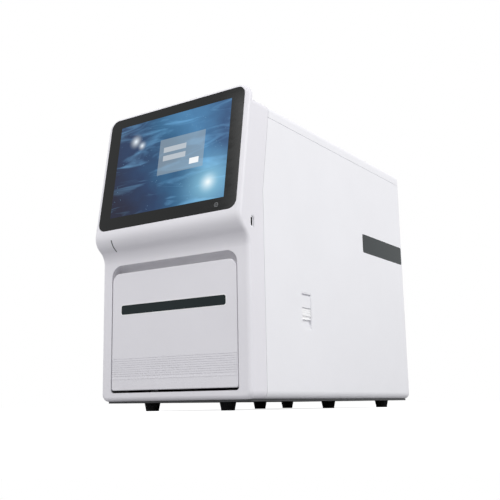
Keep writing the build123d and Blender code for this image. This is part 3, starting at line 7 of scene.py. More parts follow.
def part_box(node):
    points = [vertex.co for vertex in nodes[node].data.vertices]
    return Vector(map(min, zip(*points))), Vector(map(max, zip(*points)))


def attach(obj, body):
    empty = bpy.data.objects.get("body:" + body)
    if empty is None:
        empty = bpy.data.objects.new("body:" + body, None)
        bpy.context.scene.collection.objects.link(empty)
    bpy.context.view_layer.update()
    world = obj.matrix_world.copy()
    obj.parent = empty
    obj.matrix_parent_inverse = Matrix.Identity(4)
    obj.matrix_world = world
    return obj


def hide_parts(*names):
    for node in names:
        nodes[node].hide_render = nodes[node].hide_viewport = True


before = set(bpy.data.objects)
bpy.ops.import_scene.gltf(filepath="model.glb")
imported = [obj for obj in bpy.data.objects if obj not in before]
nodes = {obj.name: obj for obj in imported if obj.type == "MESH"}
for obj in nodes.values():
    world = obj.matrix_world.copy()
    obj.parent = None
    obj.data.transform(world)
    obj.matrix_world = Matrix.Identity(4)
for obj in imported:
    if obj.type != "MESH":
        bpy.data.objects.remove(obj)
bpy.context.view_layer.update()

# The case and its screen, in metres, in the model's own frame
FRONT = -0.28442
REAR = 0.30758
PANEL_FACE = REAR - 0.012
SCREEN_FOOT = Vector((0.0, FRONT - 0.022, 0.298))
SCREEN_TILT = math.radians(9.2)
GLASS_FACE = -0.0001
PRINT_LIFT = 0.00004
PICTURE_WIDTH = 0.235
PICTURE_LOW = 0.0218
PICTURE_HIGH = 0.1919
HOME_KEY = (0.1045, 0.0108)
HOME_KEY_RADIUS = 0.0036

# Belt loop round the two pulleys
BELT_HALF = 0.0083
BELT_FRONT = FRONT + 0.072
BELT_REAR = FRONT + 0.472
BELT_LOW = 0.048
BELT_HIGH = 0.054

# Lead screws and the magnets' upper ends
Z_SCREW_PLACE = (0.0, 0.00708)
Z_SCREW_RADIUS = 0.005
MAGNET_SCREW_PLACE = (0.0, -0.01842)
MAGNET_SCREW_RADIUS = 0.004
THREAD_PITCH = 0.002
THREAD_STARTS = 4
THREAD_DEPTH = 0.0006
THREAD_STEP = 0.0005
PLAIN_END = 0.008
MAGNET_TOP = 0.2215

# Sockets and the mains inlet
SOCKET_MOUTH = 0.1477
SIDE_TONGUE = Vector((0.1425, FRONT + 0.01084, 0.282))
PORTS = Vector((0.060, PANEL_FACE, 0.086))
PORT_SPACING = 0.020
PORT_TONGUE = Vector((-0.00016, -0.006, 0.0))
CONTACT_STEPS = (-0.0045, -0.0015, 0.0015, 0.0045)
CONTACT_WIDTH = 0.0012
CONTACT_THICK = 0.0001
SIDE_CONTACT_LENGTH = 0.007
PORT_CONTACT_LENGTH = 0.008
INLET = Vector((-0.084, PANEL_FACE, 0.086))
BLADE_DEPTH = -0.0089
BLADE_SIZE = (0.0022, 0.014, 0.0042)
BLADE_PLACES = ((-0.007, -0.011), (0.007, -0.011), (0.0, -0.015))

# Screws of the rear panel and the feet
PANEL_SCREWS_X = (-0.120, 0.120)
PANEL_SCREWS_Z = (0.050, 0.247, 0.444)
FOOT_SCREWS = ((0.076, FRONT + 0.045), (0.076, REAR - 0.220), (0.110, REAR - 0.058))
FOOT_SEAT = 0.007
FOOT_SCREW_SHARE = 1.33

# Studio
FLOOR_HALF = 6.0
FLOOR_TONE = (0.40, 0.40, 0.41, 1)
FLOOR_LIFT = 0.80
STUDIO_TONE = (0.98, 0.98, 1.0, 1)
STUDIO_LIGHT = 0.62


# Node helpers
def feed(tree, socket, value):
    """Links another socket to an input, or sets the input's own value."""
    if isinstance(value, bpy.types.NodeSocket):
        tree.links.new(value, socket)
    else:
        socket.default_value = value


def add_node(tree, kind, inputs=None, **settings):
    """Adds a node; a list as an input's value links several sockets to it."""
    node = tree.nodes.new(kind)
    for key, value in settings.items():
        setattr(node, key, value)
    for key, value in (inputs or {}).items():
        for part in value if isinstance(value, list) else [value]:
            feed(tree, node.inputs[key], part)
    return node


def empty_tree(owner):
    """The cleared node tree of a material or a world."""
    owner.use_nodes = True
    owner.node_tree.nodes.clear()
    return owner.node_tree


# Materials
class Recipe:
    """One material and the nodes it is made of."""

    def __init__(self, name):
        self.material = bpy.data.materials.new(name)
        self.tree = empty_tree(self.material)
        self.shader = self.add("ShaderNodeBsdfPrincipled")
        self.add("ShaderNodeOutputMaterial", {"Surface": self.shader.outputs["BSDF"]})
        self.place = self.add("ShaderNodeTexCoord").outputs["Object"]

    def add(self, kind, inputs=None, **settings):
        return add_node(self.tree, kind, inputs, **settings)

    def surface(self, **values):
        """Sets the shader's own sockets; underscores stand for spaces."""
        for key, value in values.items():
            feed(self.tree, self.shader.inputs[key.replace("_", " ")], value)

    def stretched(self, stretch):
        return self.add("ShaderNodeMapping", {"Vector": self.place, "Scale": stretch}).outputs["Vector"]

    def noise(self, scale, detail=2.0, stretch=(1, 1, 1)):
        inputs = {"Vector": self.stretched(stretch), "Scale": scale, "Detail": detail}
        return self.add("ShaderNodeTexNoise", inputs).outputs["Fac"]

    def ramp(self, factor, stops):
        """Colours along a factor, from a list of (place, colour)."""
        node = self.add("ShaderNodeValToRGB", {"Fac": factor})
        elements = node.color_ramp.elements
        while len(elements) < len(stops):
            elements.new(0.5)
        for element, (place, colour) in zip(elements, stops):
            element.position = place
            element.color = (*colour, 1.0)
        return node.outputs["Color"]

    def span(self, factor, low, high):
        """A factor's middle range turned into a range of numbers."""
        inputs = {"Value": factor, "From Min": 0.3, "From Max": 0.7, "To Min": low, "To Max": high}
        return self.add("ShaderNodeMapRange", inputs).outputs["Result"]

    def bump(self, height, depth, strength=1.0):
        inputs = {"Height": height, "Distance": depth, "Strength": strength}
        self.surface(Normal=self.add("ShaderNodeBump", inputs).outputs["Normal"])

    def math(self, operation, first, second=0.0, clamp=False):
        node = self.add("ShaderNodeMath", {0: first, 1: second}, operation=operation, use_clamp=clamp)
        return node.outputs["Value"]

    def mix(self, factor, first, second, blend="MIX"):
        """One colour over another; the mix node's colour sockets are its sixth and seventh."""
        inputs = {0: factor, 6: first, 7: second}
        return self.add("ShaderNodeMix", inputs, data_type="RGBA", blend_type=blend).outputs[2]


def tones(colour, spread):
    """A darker and a lighter tone of one colour."""
    return [tuple(min(1.0, part * share) for part in colour) for share in (1 - spread, 1 + spread)]


def moulded(name, colour, rough, grain, depth, spread=0.02, patch=9.0, specular=0.5):
    """Injection-moulded plastic: faint flow patches, even gloss and a fine spark-eroded grain."""
    recipe = Recipe(name)
    dark, light = tones(colour, spread)
    recipe.surface(
        Base_Color=recipe.ramp(recipe.noise(patch, 3.0), [(0.35, dark), (0.65, light)]),
        Roughness=recipe.span(recipe.noise(patch * 14, 2.0), rough - 0.04, rough + 0.04),
        Specular_IOR_Level=specular,
    )
    recipe.bump(recipe.noise(grain, 2.0), depth)
    return recipe.material


def polished(name, colour, rough, specular, coat=0.0):
    """Smooth gloss surface with faint wipe marks in its gloss."""
    recipe = Recipe(name)
    dark, light = tones(colour, 0.10)
    recipe.surface(
        Base_Color=recipe.ramp(recipe.noise(14.0, 2.0), [(0.3, dark), (0.7, light)]),
        Roughness=recipe.span(recipe.noise(30.0, 4.0, (1, 1, 6)), rough * 0.7, rough * 1.3),
        Specular_IOR_Level=specular,
        Coat_Weight=coat,
        Coat_Roughness=0.04,
    )
    recipe.bump(recipe.noise(60.0, 1.0), 0.000006)
    return recipe.material


def brushed(name, colour, rough, along, metallic=1.0):
    """Rolled or brushed metal with fine lines along one direction."""
    recipe = Recipe(name)
    lines = recipe.noise(30.0, 5.0, along)
    cloud = recipe.noise(24.0, 3.0)
    dark, light = tones(colour, 0.09)
    recipe.surface(
        Base_Color=recipe.ramp(cloud, [(0.3, dark), (0.7, light)]),
        Roughness=recipe.span(lines, rough - 0.09, rough + 0.09),
        Metallic=metallic,
    )
    recipe.bump(lines, 0.00003, 0.6)
    return recipe.material


def coated(name, colour, rough):
    """Powder coat on sheet metal: orange peel and small dust-like specks."""
    recipe = Recipe(name)
    dark, light = tones(colour, 0.06)
    peel = recipe.noise(520.0, 2.0)
    recipe.surface(
        Base_Color=recipe.ramp(recipe.noise(420.0, 3.0), [(0.3, dark), (0.7, light)]),
        Roughness=recipe.span(peel, rough - 0.06, rough + 0.06),
    )
    recipe.bump(peel, 0.00008)
    return recipe.material


def rubbery(name, colour):
    """Matt rubber with a fine mottled grain."""
    recipe = Recipe(name)
    dark, light = tones(colour, 0.25)
    recipe.surface(
        Base_Color=recipe.ramp(recipe.noise(90.0, 4.0), [(0.3, dark), (0.7, light)]),
        Roughness=recipe.span(recipe.noise(160.0, 3.0), 0.62, 0.86),
        Specular_IOR_Level=0.3,
    )
    recipe.bump(recipe.noise(900.0, 3.0), 0.00006)
    return recipe.material


def board_green():
    """Solder mask with copper runs showing through as lighter lines."""
    recipe = Recipe("board_green")
    runs = recipe.add("ShaderNodeTexBrick", {"Vector": recipe.place, "Scale": 260.0, "Mortar Size": 0.03})
    runs.inputs["Color1"].default_value = (0.010, 0.095, 0.045, 1)
    runs.inputs["Color2"].default_value = (0.014, 0.120, 0.060, 1)
    runs.inputs["Mortar"].default_value = (0.05, 0.26, 0.13, 1)
    recipe.surface(
        Base_Color=runs.outputs["Color"],
        Roughness=recipe.span(recipe.noise(200.0), 0.28, 0.42),
    )
    recipe.bump(runs.outputs["Fac"], 0.00004)
    return recipe.material


def natural_polypropylene():
    """Milky sleeve plastic that lets some light through."""
    recipe = Recipe("natural_polypropylene")
    recipe.surface(
        Base_Color=recipe.ramp(recipe.noise(120.0), [(0.3, (0.83, 0.85, 0.85)), (0.7, (0.92, 0.93, 0.92))]),
        Roughness=recipe.span(recipe.noise(300.0), 0.28, 0.42),
        Transmission_Weight=0.45,
        IOR=1.49,
    )
    recipe.bump(recipe.noise(700.0), 0.00002)
    return recipe.material


def magnet_rod():
    """Ground steel rod with a darker nickel-plated magnet set in its lower end."""
    recipe = Recipe("ground_rod_with_magnet")
    height = recipe.add("ShaderNodeSeparateXYZ", {"Vector": recipe.place}).outputs["Z"]
    edge = {"Value": height, "From Min": MAGNET_TOP, "From Max": MAGNET_TOP + 0.0005}
    share = recipe.add("ShaderNodeMapRange", edge)
    lines = recipe.noise(60.0, 4.0, (1, 1, 20))
    recipe.surface(
        Base_Color=recipe.mix(share.outputs["Result"], (0.36, 0.35, 0.33, 1), (0.64, 0.65, 0.67, 1)),
        Roughness=recipe.span(lines, 0.16, 0.32),
        Metallic=1.0,
    )
    recipe.bump(lines, 0.00001)
    return recipe.material


def side_socket():
    """White dished bezel with a black socket moulded deep inside it."""
    recipe = Recipe("side_socket_plastic")
    depth = recipe.add("ShaderNodeSeparateXYZ", {"Vector": recipe.place}).outputs["X"]
    outside = recipe.math("GREATER_THAN", depth, SOCKET_MOUTH)
    recipe.surface(
        Base_Color=recipe.mix(outside, (0.015, 0.015, 0.017, 1), (0.86, 0.86, 0.885, 1)),
        Roughness=recipe.span(recipe.noise(160.0), 0.38, 0.48),
    )
    recipe.bump(recipe.noise(1500.0), 0.00003)
    return recipe.material


def display_picture():
    """The lit picture: drifting blue veils, a soft bloom, fine sparks and a pale form with fields."""
    recipe = Recipe("display_picture")
    sheet = recipe.add("ShaderNodeUVMap").outputs["UV"]
    parts = recipe.add("ShaderNodeSeparateXYZ", {"Vector": sheet})
    across, up = parts.outputs["X"], parts.outputs["Y"]

    def cloud(scale, detail, stretch, twist=0.0):
        moved = recipe.add("ShaderNodeMapping", {"Vector": sheet, "Scale": stretch}).outputs["Vector"]
        inputs = {"Vector": moved, "Scale": scale, "Detail": detail, "Distortion": twist}
        return recipe.add("ShaderNodeTexNoise", inputs).outputs["Fac"]

    def bloom(x, y, size):
        """Soft round light that fades out at its size."""
        side = recipe.math("SUBTRACT", across, x)
        rise = recipe.math("MULTIPLY", recipe.math("SUBTRACT", up, y), 0.75)
        square = recipe.math("ADD", recipe.math("POWER", side, 2.0), recipe.math("POWER", rise, 2.0))
        reach = recipe.math("DIVIDE", recipe.math("SQRT", square), size)
        return recipe.math("POWER", recipe.math("SUBTRACT", 1.0, reach, clamp=True), 2.2)

    def between(place, low, high):
        above = recipe.math("GREATER_THAN", place, low)
        return recipe.math("MULTIPLY", above, recipe.math("LESS_THAN", place, high))

    def inside(x0, x1, y0, y1):
        """One inside a rectangle of the picture, nothing outside it."""
        return recipe.math("MULTIPLY", between(across, x0, x1), between(up, y0, y1))

    slope = recipe.math("ADD", recipe.math("MULTIPLY", across, 0.75), recipe.math("MULTIPLY", up, 0.25))
    wander = recipe.math("SUBTRACT", cloud(2.4, 5, (1, 1, 1)), 0.5)
    drift = recipe.math("ADD", slope, recipe.math("MULTIPLY", wander, 0.5))
    colour = recipe.ramp(drift, [
        (0.05, (0.004, 0.006, 0.030)), (0.30, (0.006, 0.035, 0.110)), (0.52, (0.016, 0.110, 0.240)),
        (0.74, (0.050, 0.200, 0.400)), (0.95, (0.010, 0.070, 0.190)),
    ])
    veils = recipe.ramp(cloud(3.2, 6, (0.7, 2.4, 1), 1.4), [(0.50, (0, 0, 0)), (0.72, (0.10, 0.24, 0.38))])
    colour = recipe.mix(0.8, colour, veils, "ADD")
    sparks = recipe.add("ShaderNodeTexVoronoi", {"Vector": sheet, "Scale": 34.0, "Randomness": 1.0})
    near = recipe.math("LESS_THAN", sparks.outputs["Distance"], 0.085)
    few = recipe.math("GREATER_THAN", cloud(5.0, 1, (1, 1, 1)), 0.52)
    colour = recipe.mix(recipe.math("MULTIPLY", near, few), colour, (0.16, 0.34, 0.52, 1))
    halo = recipe.math("MULTIPLY", bloom(0.86, 0.18, 0.34), 0.9)
    colour = recipe.mix(halo, colour, (0.30, 0.66, 0.84, 1))
    colour = recipe.mix(bloom(0.86, 0.18, 0.10), colour, (0.92, 0.97, 0.98, 1))
    for x, y, size in ((0.16, 0.80, 0.075), (0.225, 0.735, 0.05)):
        colour = recipe.mix(bloom(x, y, size), colour, (0.85, 0.93, 1.0, 1))
    form = inside(0.40, 0.80, 0.36, 0.74)
    colour = recipe.mix(recipe.math("MULTIPLY", form, 0.55), colour, (0.30, 0.38, 0.44, 1))
    for y in (0.62, 0.53):
        field = inside(0.44, 0.64, y - 0.028, y + 0.028)
        colour = recipe.mix(recipe.math("MULTIPLY", field, 0.75), colour, (0.56, 0.60, 0.64, 1))
    button = inside(0.68, 0.76, 0.41, 0.47)
    colour = recipe.mix(button, colour, (0.88, 0.90, 0.92, 1))
    recipe.surface(
        Base_Color=(0.0, 0.0, 0.0, 1.0),
        Emission_Color=colour,
        Emission_Strength=1.0,
        Roughness=0.22,
        Specular_IOR_Level=0.25,
    )
    return recipe.material


COVER_WHITE = moulded("cover_white_plastic", (0.86, 0.86, 0.885), 0.46, 1500.0, 0.00003, 0.010)
FRONT_WHITE = moulded("front_white_plastic", (0.80, 0.79, 0.825), 0.44, 1500.0, 0.00003, 0.012)
DOOR_WHITE = moulded("door_white_plastic", (0.79, 0.78, 0.815), 0.44, 1500.0, 0.00003, 0.012)
TRIM_LIGHT = polished("trim_light_plastic", (0.93, 0.93, 0.94), 0.22, 0.5)
RECESS_WHITE = moulded("recess_white_plastic", (0.93, 0.92, 0.95), 0.44, 1500.0, 0.00003, 0.010)
SCREEN_GLASS = polished("black_cover_glass", (0.0035, 0.0045, 0.0045), 0.10, 0.24)
DARK_INLAY = polished("dark_teal_inlay", (0.008, 0.016, 0.018), 0.16, 0.18)
BLACK_PLASTIC = moulded("black_moulded_plastic", (0.018, 0.018, 0.020), 0.42, 900.0, 0.00004, 0.12,
                        specular=0.35)
BLACK_RUBBER = rubbery("black_rubber", (0.012, 0.012, 0.013))
LINER_PLASTIC = moulded("liner_plastic", (0.72, 0.72, 0.74), 0.50, 800.0, 0.00005, 0.03)
STEEL_DARK = coated("dark_powder_coat", (0.030, 0.031, 0.034), 0.48)
STEEL_GREY = coated("grey_powder_coat", (0.50, 0.51, 0.53), 0.46)
LINER_WHITE = coated("white_powder_coat", (0.80, 0.80, 0.80), 0.42)
ZINC = brushed("zinc_plated_steel", (0.55, 0.56, 0.58), 0.36, (1, 14, 14))
ZINC_UPRIGHT = brushed("zinc_plated_upright", (0.58, 0.59, 0.61), 0.30, (14, 14, 1))
ALUMINIUM = brushed("brushed_aluminium", (0.74, 0.75, 0.76), 0.32, (1, 16, 16))
ALUMINIUM_FINE = brushed("fine_aluminium", (0.78, 0.79, 0.80), 0.26, (20, 1, 20))
BLACK_ANODISED = brushed("black_anodised", (0.030, 0.030, 0.033), 0.38, (1, 16, 16), 0.6)
BOARD = board_green()
SLEEVE = natural_polypropylene()
ROD = magnet_rod()
LAMP = polished("quartz_tube", (0.80, 0.83, 0.90), 0.12, 0.6, 0.4)
LENS = polished("smoked_lens", (0.055, 0.060, 0.066), 0.20, 0.4, 0.3)
CHROME = brushed("chromed_wire", (0.72, 0.73, 0.75), 0.14, (1, 1, 1))
GOLD = brushed("gold_contacts", (0.80, 0.58, 0.22), 0.26, (1, 8, 8))
PRINT_GREY = polished("printed_grey", (0.30, 0.31, 0.32), 0.40, 0.3)
SIDE_SOCKET = side_socket()
PICTURE = display_picture()

FINISHES = {
    "front_frame": FRONT_WHITE, "top_cover": COVER_WHITE, "left_side_cover": COVER_WHITE,
    "right_side_cover": COVER_WHITE, "side_plates": DARK_INLAY, "latch_bezel": COVER_WHITE,
    "latch_slider": TRIM_LIGHT, "feet": BLACK_RUBBER, "base_plate": STEEL_DARK, "touch_glass": SCREEN_GLASS,
    "display_module": ZINC, "display_bracket": STEEL_GREY, "controller_board": BOARD,
    "status_light_lens": LENS, "side_usb_port": SIDE_SOCKET, "door_panel": DOOR_WHITE,
    "door_window_trim": TRIM_LIGHT, "door_window": DARK_INLAY, "door_liner": LINER_PLASTIC,
    "door_seal": BLACK_RUBBER, "hinge_knuckles": STEEL_GREY, "hinge_brackets": ZINC, "strike_plates": ZINC,
    "catch_magnets": STEEL_GREY, "finger_recess": RECESS_WHITE, "left_chassis_plate": ZINC,
    "right_chassis_plate": ZINC, "chassis_braces": ZINC, "deck_plate": ALUMINIUM, "linear_rails": ZINC,
    "deck_rail_blocks": STEEL_GREY, "deck_carriage": ALUMINIUM, "heater_plate": BLACK_ANODISED,
    "cartridge_rack": ALUMINIUM_FINE, "drive_belt": BLACK_RUBBER, "idler_pulley": ALUMINIUM_FINE,
    "drive_pulley": ALUMINIUM_FINE, "stepper_motors": STEEL_DARK, "gantry_plate": ALUMINIUM,
    "z_rail_blocks": STEEL_GREY, "z_screw": ZINC_UPRIGHT, "sleeve_carrier": ALUMINIUM,
    "rod_sleeves": SLEEVE, "guide_shafts": CHROME, "magnet_carrier": ALUMINIUM_FINE, "magnet_rods": ROD,
    "magnet_screw": ZINC_UPRIGHT, "magnet_motor": STEEL_DARK, "chamber_liner": LINER_WHITE,
    "uv_lamp": LAMP, "power_supply": ZINC, "main_board": BOARD, "rear_panel": STEEL_GREY,
    "screws": ZINC, "fan_frame": BLACK_PLASTIC, "fan_rotor": BLACK_PLASTIC, "fan_guard": CHROME,
    "power_inlet": BLACK_PLASTIC, "power_rocker": BLACK_PLASTIC, "rear_ports": BLACK_PLASTIC,
}


def dress_nodes():
    """Gives every carried-over node its finish."""
    for name, finish in FINISHES.items():
        for place in nodes[name].material_slots:
            place.material = finish


# Mesh helpers
def piece(name, points, faces, finish, body, smooth=False):
    """A mesh with its place in its points, riding on a body."""
    mesh = bpy.data.meshes.new(name)
    mesh.from_pydata([tuple(p) for p in points], [], faces)
    mesh.materials.append(finish)
    mesh.polygons.foreach_set("use_smooth", [smooth] * len(mesh.polygons))
    mesh.update()
    made = bpy.data.objects.new(name, mesh)
    bpy.context.scene.collection.objects.link(made)
    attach(made, body)
    return made


def on_screen(across, up, lift=0.0):
    """A point of the screen plane, lifted out of it."""
    direction = Vector((0, math.sin(SCREEN_TILT), math.cos(SCREEN_TILT)))
    outwards = Vector((0, -math.cos(SCREEN_TILT), math.sin(SCREEN_TILT)))
    return SCREEN_FOOT + Vector((across, 0, 0)) + up * direction + lift * outwards


def ring_points(centre, radius, count=40, start=0.0, end=2 * math.pi):
    """Points along an arc, as pairs across and up, with turns counted from straight up."""
    step = (end - start) / count
    turns = [start + k * step for k in range(count + 1)]
    return [(centre[0] + radius * math.sin(turn), centre[1] + radius * math.cos(turn)) for turn in turns]


def band(outer, inner):
    """Points and faces of a strip between two rows of as many points."""
    count = len(outer)
    points = outer + inner
    faces = [(i, i + 1, count + i + 1, count + i) for i in range(count - 1)]
    return points, faces


def make_picture():
    """The lit area, a fine grid laid on the cover glass."""
    columns, rows = 24, 18
    points = []
    for j in range(rows + 1):
        for i in range(columns + 1):
            across = (i / columns - 0.5) * PICTURE_WIDTH
            up = PICTURE_LOW + (PICTURE_HIGH - PICTURE_LOW) * j / rows
            points.append(on_screen(across, up, GLASS_FACE + PRINT_LIFT))
    faces = []
    for j in range(rows):
        for i in range(columns):
            first = j * (columns + 1) + i
            faces.append((first, first + 1, first + columns + 2, first + columns + 1))
    made = piece("screen_picture", points, faces, PICTURE, "root")
    layer = made.data.uv_layers.new(name="sheet")
    for loop in made.data.loops:
        j, i = divmod(loop.vertex_index, columns + 1)
        layer.data[loop.index].uv = (i / columns, j / rows)


def make_home_key():
    """Printed ring with a small roof and walls inside it."""
    lift = GLASS_FACE + PRINT_LIFT
    x, up = HOME_KEY
    outer = [on_screen(a, b, lift) for a, b in ring_points(HOME_KEY, HOME_KEY_RADIUS)]
    inner = [on_screen(a, b, lift) for a, b in ring_points(HOME_KEY, HOME_KEY_RADIUS * 0.86)]
    points, faces = band(outer, inner)
    roof = [(-0.0018, -0.0001), (0, 0.0017), (0.0018, -0.0001),
            (0.0013, -0.0001), (0, 0.0011), (-0.0013, -0.0001)]
    walls = [(-0.0012, -0.0003), (-0.0009, -0.0003), (-0.0009, -0.0013), (0.0009, -0.0013),
             (0.0009, -0.0003), (0.0012, -0.0003), (0.0012, -0.0016), (-0.0012, -0.0016)]
    roof_faces = [(0, 1, 4, 5), (1, 2, 3, 4)]
    wall_faces = [(0, 1, 2, 7), (2, 3, 6, 7), (3, 4, 5, 6)]
    for outline, split in ((roof, roof_faces), (walls, wall_faces)):
        base = len(points)
        points += [on_screen(x + a, up + b, lift) for a, b in outline]
        faces += [tuple(base + k for k in face) for face in split]
    piece("home_key_print", points, faces, PRINT_GREY, "root")


def turned_screw(name, centre, radius, node):
    """Lead screw with a four-start thread, plain at both ends, in place of its plain node."""
    low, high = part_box(node)[0].z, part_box(node)[1].z
    sides, rings = 24, int((high - low) / THREAD_STEP)
    points, faces = [], []
    for j in range(rings + 1):
        z = low + (high - low) * j / rings
        threaded = low + PLAIN_END < z < high - PLAIN_END
        for i in range(sides):
            phase = (z / THREAD_PITCH - THREAD_STARTS * i / sides) % 1.0
            cut = THREAD_DEPTH * max(0.0, 1 - abs(phase - 0.5) * 4) if threaded else 0.0
            turn, reach = 2 * math.pi * i / sides, radius - cut
            points.append((centre[0] + reach * math.cos(turn), centre[1] + reach * math.sin(turn), z))
    for j in range(rings):
        for i in range(sides):
            a, b = j * sides + i, j * sides + (i + 1) % sides
            faces.append((a, b, b + sides, a + sides))
    faces.append(tuple(reversed(range(sides))))
    faces.append(tuple(range(rings * sides, (rings + 1) * sides)))
    made = piece(name, points, faces, ZINC_UPRIGHT, node, smooth=True)
    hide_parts(node)


# Repeated pieces grown with Geometry Nodes
class Pattern:
    """A Geometry Nodes tree with named sizes, run on a carrier mesh and kept as a plain mesh."""

    def __init__(self, name, sizes):
        self.name = name
        self.sizes = sizes
        self.tree = bpy.data.node_groups.new(name, "GeometryNodeTree")
        plan = self.tree.interface
        plan.new_socket("Carrier", in_out="INPUT", socket_type="NodeSocketGeometry")
        for label in sizes:
            plan.new_socket(label, in_out="INPUT", socket_type="NodeSocketFloat")
        plan.new_socket("Result", in_out="OUTPUT", socket_type="NodeSocketGeometry")
        self.given = self.add("NodeGroupInput").outputs

    def add(self, kind, inputs=None, **settings):
        return add_node(self.tree, kind, inputs, **settings)

    def row(self, name):
        """The vector that each point of the carrier holds under a name."""
        node = self.add("GeometryNodeInputNamedAttribute", {"Name": name}, data_type="FLOAT_VECTOR")
        return node.outputs["Attribute"]

    def bar(self, sides, radius, length):
        """A round bar whose radius and length are two of the named sizes."""
        inputs = {"Vertices": sides, "Radius": self.given[radius], "Depth": self.given[length]}
        return self.add("GeometryNodeMeshCylinder", inputs).outputs["Mesh"]

    def raised(self, geometry, height):
        """A shape moved along its own upright axis."""
        inputs = {"Geometry": geometry, "Translation": (0, 0, height)}
        return self.add("GeometryNodeTransform", inputs).outputs["Geometry"]

    def grow(self, geometry, points, edges, finish, body, facing=None, sizes=None):
        """Ends the tree, runs it on the carrier's points and edges, and keeps the mesh that it gives."""
        whole = self.add("GeometryNodeRealizeInstances", {"Geometry": geometry}).outputs["Geometry"]
        done = self.add("GeometryNodeSetMaterial", {"Geometry": whole, "Material": finish})
        self.add("NodeGroupOutput", {"Result": done.outputs["Geometry"]})
        mesh = bpy.data.meshes.new(self.name + "_carrier")
        mesh.from_pydata(points, edges, [])
        for label, rows in (("facing", facing), ("size", sizes)):
            if rows:
                layer = mesh.attributes.new(label, "FLOAT_VECTOR", "POINT")
                for place, row in zip(layer.data, rows):
                    place.vector = row
        carrier = bpy.data.objects.new(self.name + "_carrier", mesh)
        bpy.context.scene.collection.objects.link(carrier)
        modifier = carrier.modifiers.new(self.name, "NODES")
        modifier.node_group = self.tree
        for item in self.tree.interface.items_tree:
            if item.in_out == "INPUT" and item.name in self.sizes:
                modifier[item.identifier] = self.sizes[item.name]
        grown = carrier.evaluated_get(bpy.context.evaluated_depsgraph_get())
        plain = bpy.data.meshes.new_from_object(grown)
        carrier.modifiers.clear()
        bpy.data.objects.remove(carrier)
        plain.name = self.name
        made = bpy.data.objects.new(self.name, plain)
        bpy.context.scene.collection.objects.link(made)
        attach(made, body)
        return made


def make_screws():
    """Pan-head screws with a cross recess: six in the rear panel, six up through the feet."""
    head_height, shank_length = 0.002, 0.006
    blade_length, blade_width = 0.0036, 0.0007
    pattern = Pattern("cross_head_screws", {
        "Head Radius": 0.003, "Head Height": head_height,
        "Shank Radius": 0.0015, "Shank Length": shank_length,
    })
    head = pattern.bar(24, "Head Radius", "Head Height")
    shank = pattern.bar(16, "Shank Radius", "Shank Length")
    blades = [
        pattern.add("GeometryNodeMeshCube", {"Size": size}).outputs["Mesh"]
        for size in ((blade_length, blade_width, head_height), (blade_width, blade_length, head_height))
    ]
    cross = pattern.add("GeometryNodeMeshBoolean", {"Mesh 2": blades}, operation="UNION").outputs["Mesh"]
    both = {"Mesh 1": head, "Mesh 2": pattern.raised(cross, head_height / 2)}
    cut = pattern.add("GeometryNodeMeshBoolean", both, operation="DIFFERENCE").outputs["Mesh"]
    parts = [pattern.raised(cut, head_height / 2), pattern.raised(shank, -shank_length / 2)]
    screw = pattern.add("GeometryNodeJoinGeometry", {"Geometry": parts}).outputs["Geometry"]
    turned = pattern.add("FunctionNodeAlignRotationToVector", {"Vector": pattern.row("facing")})
    placed = pattern.add("GeometryNodeInstanceOnPoints", {
        "Points": pattern.given["Carrier"], "Instance": screw, "Rotation": turned.outputs["Rotation"],
        "Scale": pattern.row("size"),
    })
    panel = [(x, PANEL_FACE, z) for x in PANEL_SCREWS_X for z in PANEL_SCREWS_Z]
    feet = [(side * x, y, FOOT_SEAT) for side in (-1, 1) for x, y in FOOT_SCREWS]
    facing = [(0, 1, 0)] * len(panel) + [(0, 0, -1)] * len(feet)
    sizes = [(1, 1, 1)] * len(panel) + [(FOOT_SCREW_SHARE,) * 3] * len(feet)
    screws = placed.outputs["Instances"]
    made = pattern.grow(screws, panel + feet, [], ZINC, "root", facing, sizes)
    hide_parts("screws")


def make_strips(name, strips, finish):
    """Small flat bars, each given as its middle and its size."""
    pattern = Pattern(name, {"Unit Size": 1.0})
    bar = pattern.add("GeometryNodeMeshCube", {"Size": pattern.given["Unit Size"]}).outputs["Mesh"]
    placed = pattern.add("GeometryNodeInstanceOnPoints", {
        "Points": pattern.given["Carrier"], "Instance": bar, "Scale": pattern.row("size"),
    })
    middles, sizes = zip(*strips)
    pattern.grow(placed.outputs["Instances"], middles, [], finish, "root", sizes=sizes)


def make_contacts():
    """Gold strips on the socket tongues and bright blades in the mains inlet."""
    strips = []
    for step in CONTACT_STEPS:
        upwards = Vector((0, 0, step))
        strips.append((SIDE_TONGUE + upwards, (SIDE_CONTACT_LENGTH, CONTACT_THICK, CONTACT_WIDTH)))
        for x in (0.0, PORT_SPACING):
            place = PORTS + PORT_TONGUE + Vector((x, 0, 0)) + upwards
            strips.append((place, (CONTACT_THICK, PORT_CONTACT_LENGTH, CONTACT_WIDTH)))
    make_strips("socket_contacts", strips, GOLD)
    blades = [(INLET + Vector((x, BLADE_DEPTH, z)), BLADE_SIZE) for x, z in BLADE_PLACES]
    make_strips("inlet_blades", blades, CHROME)


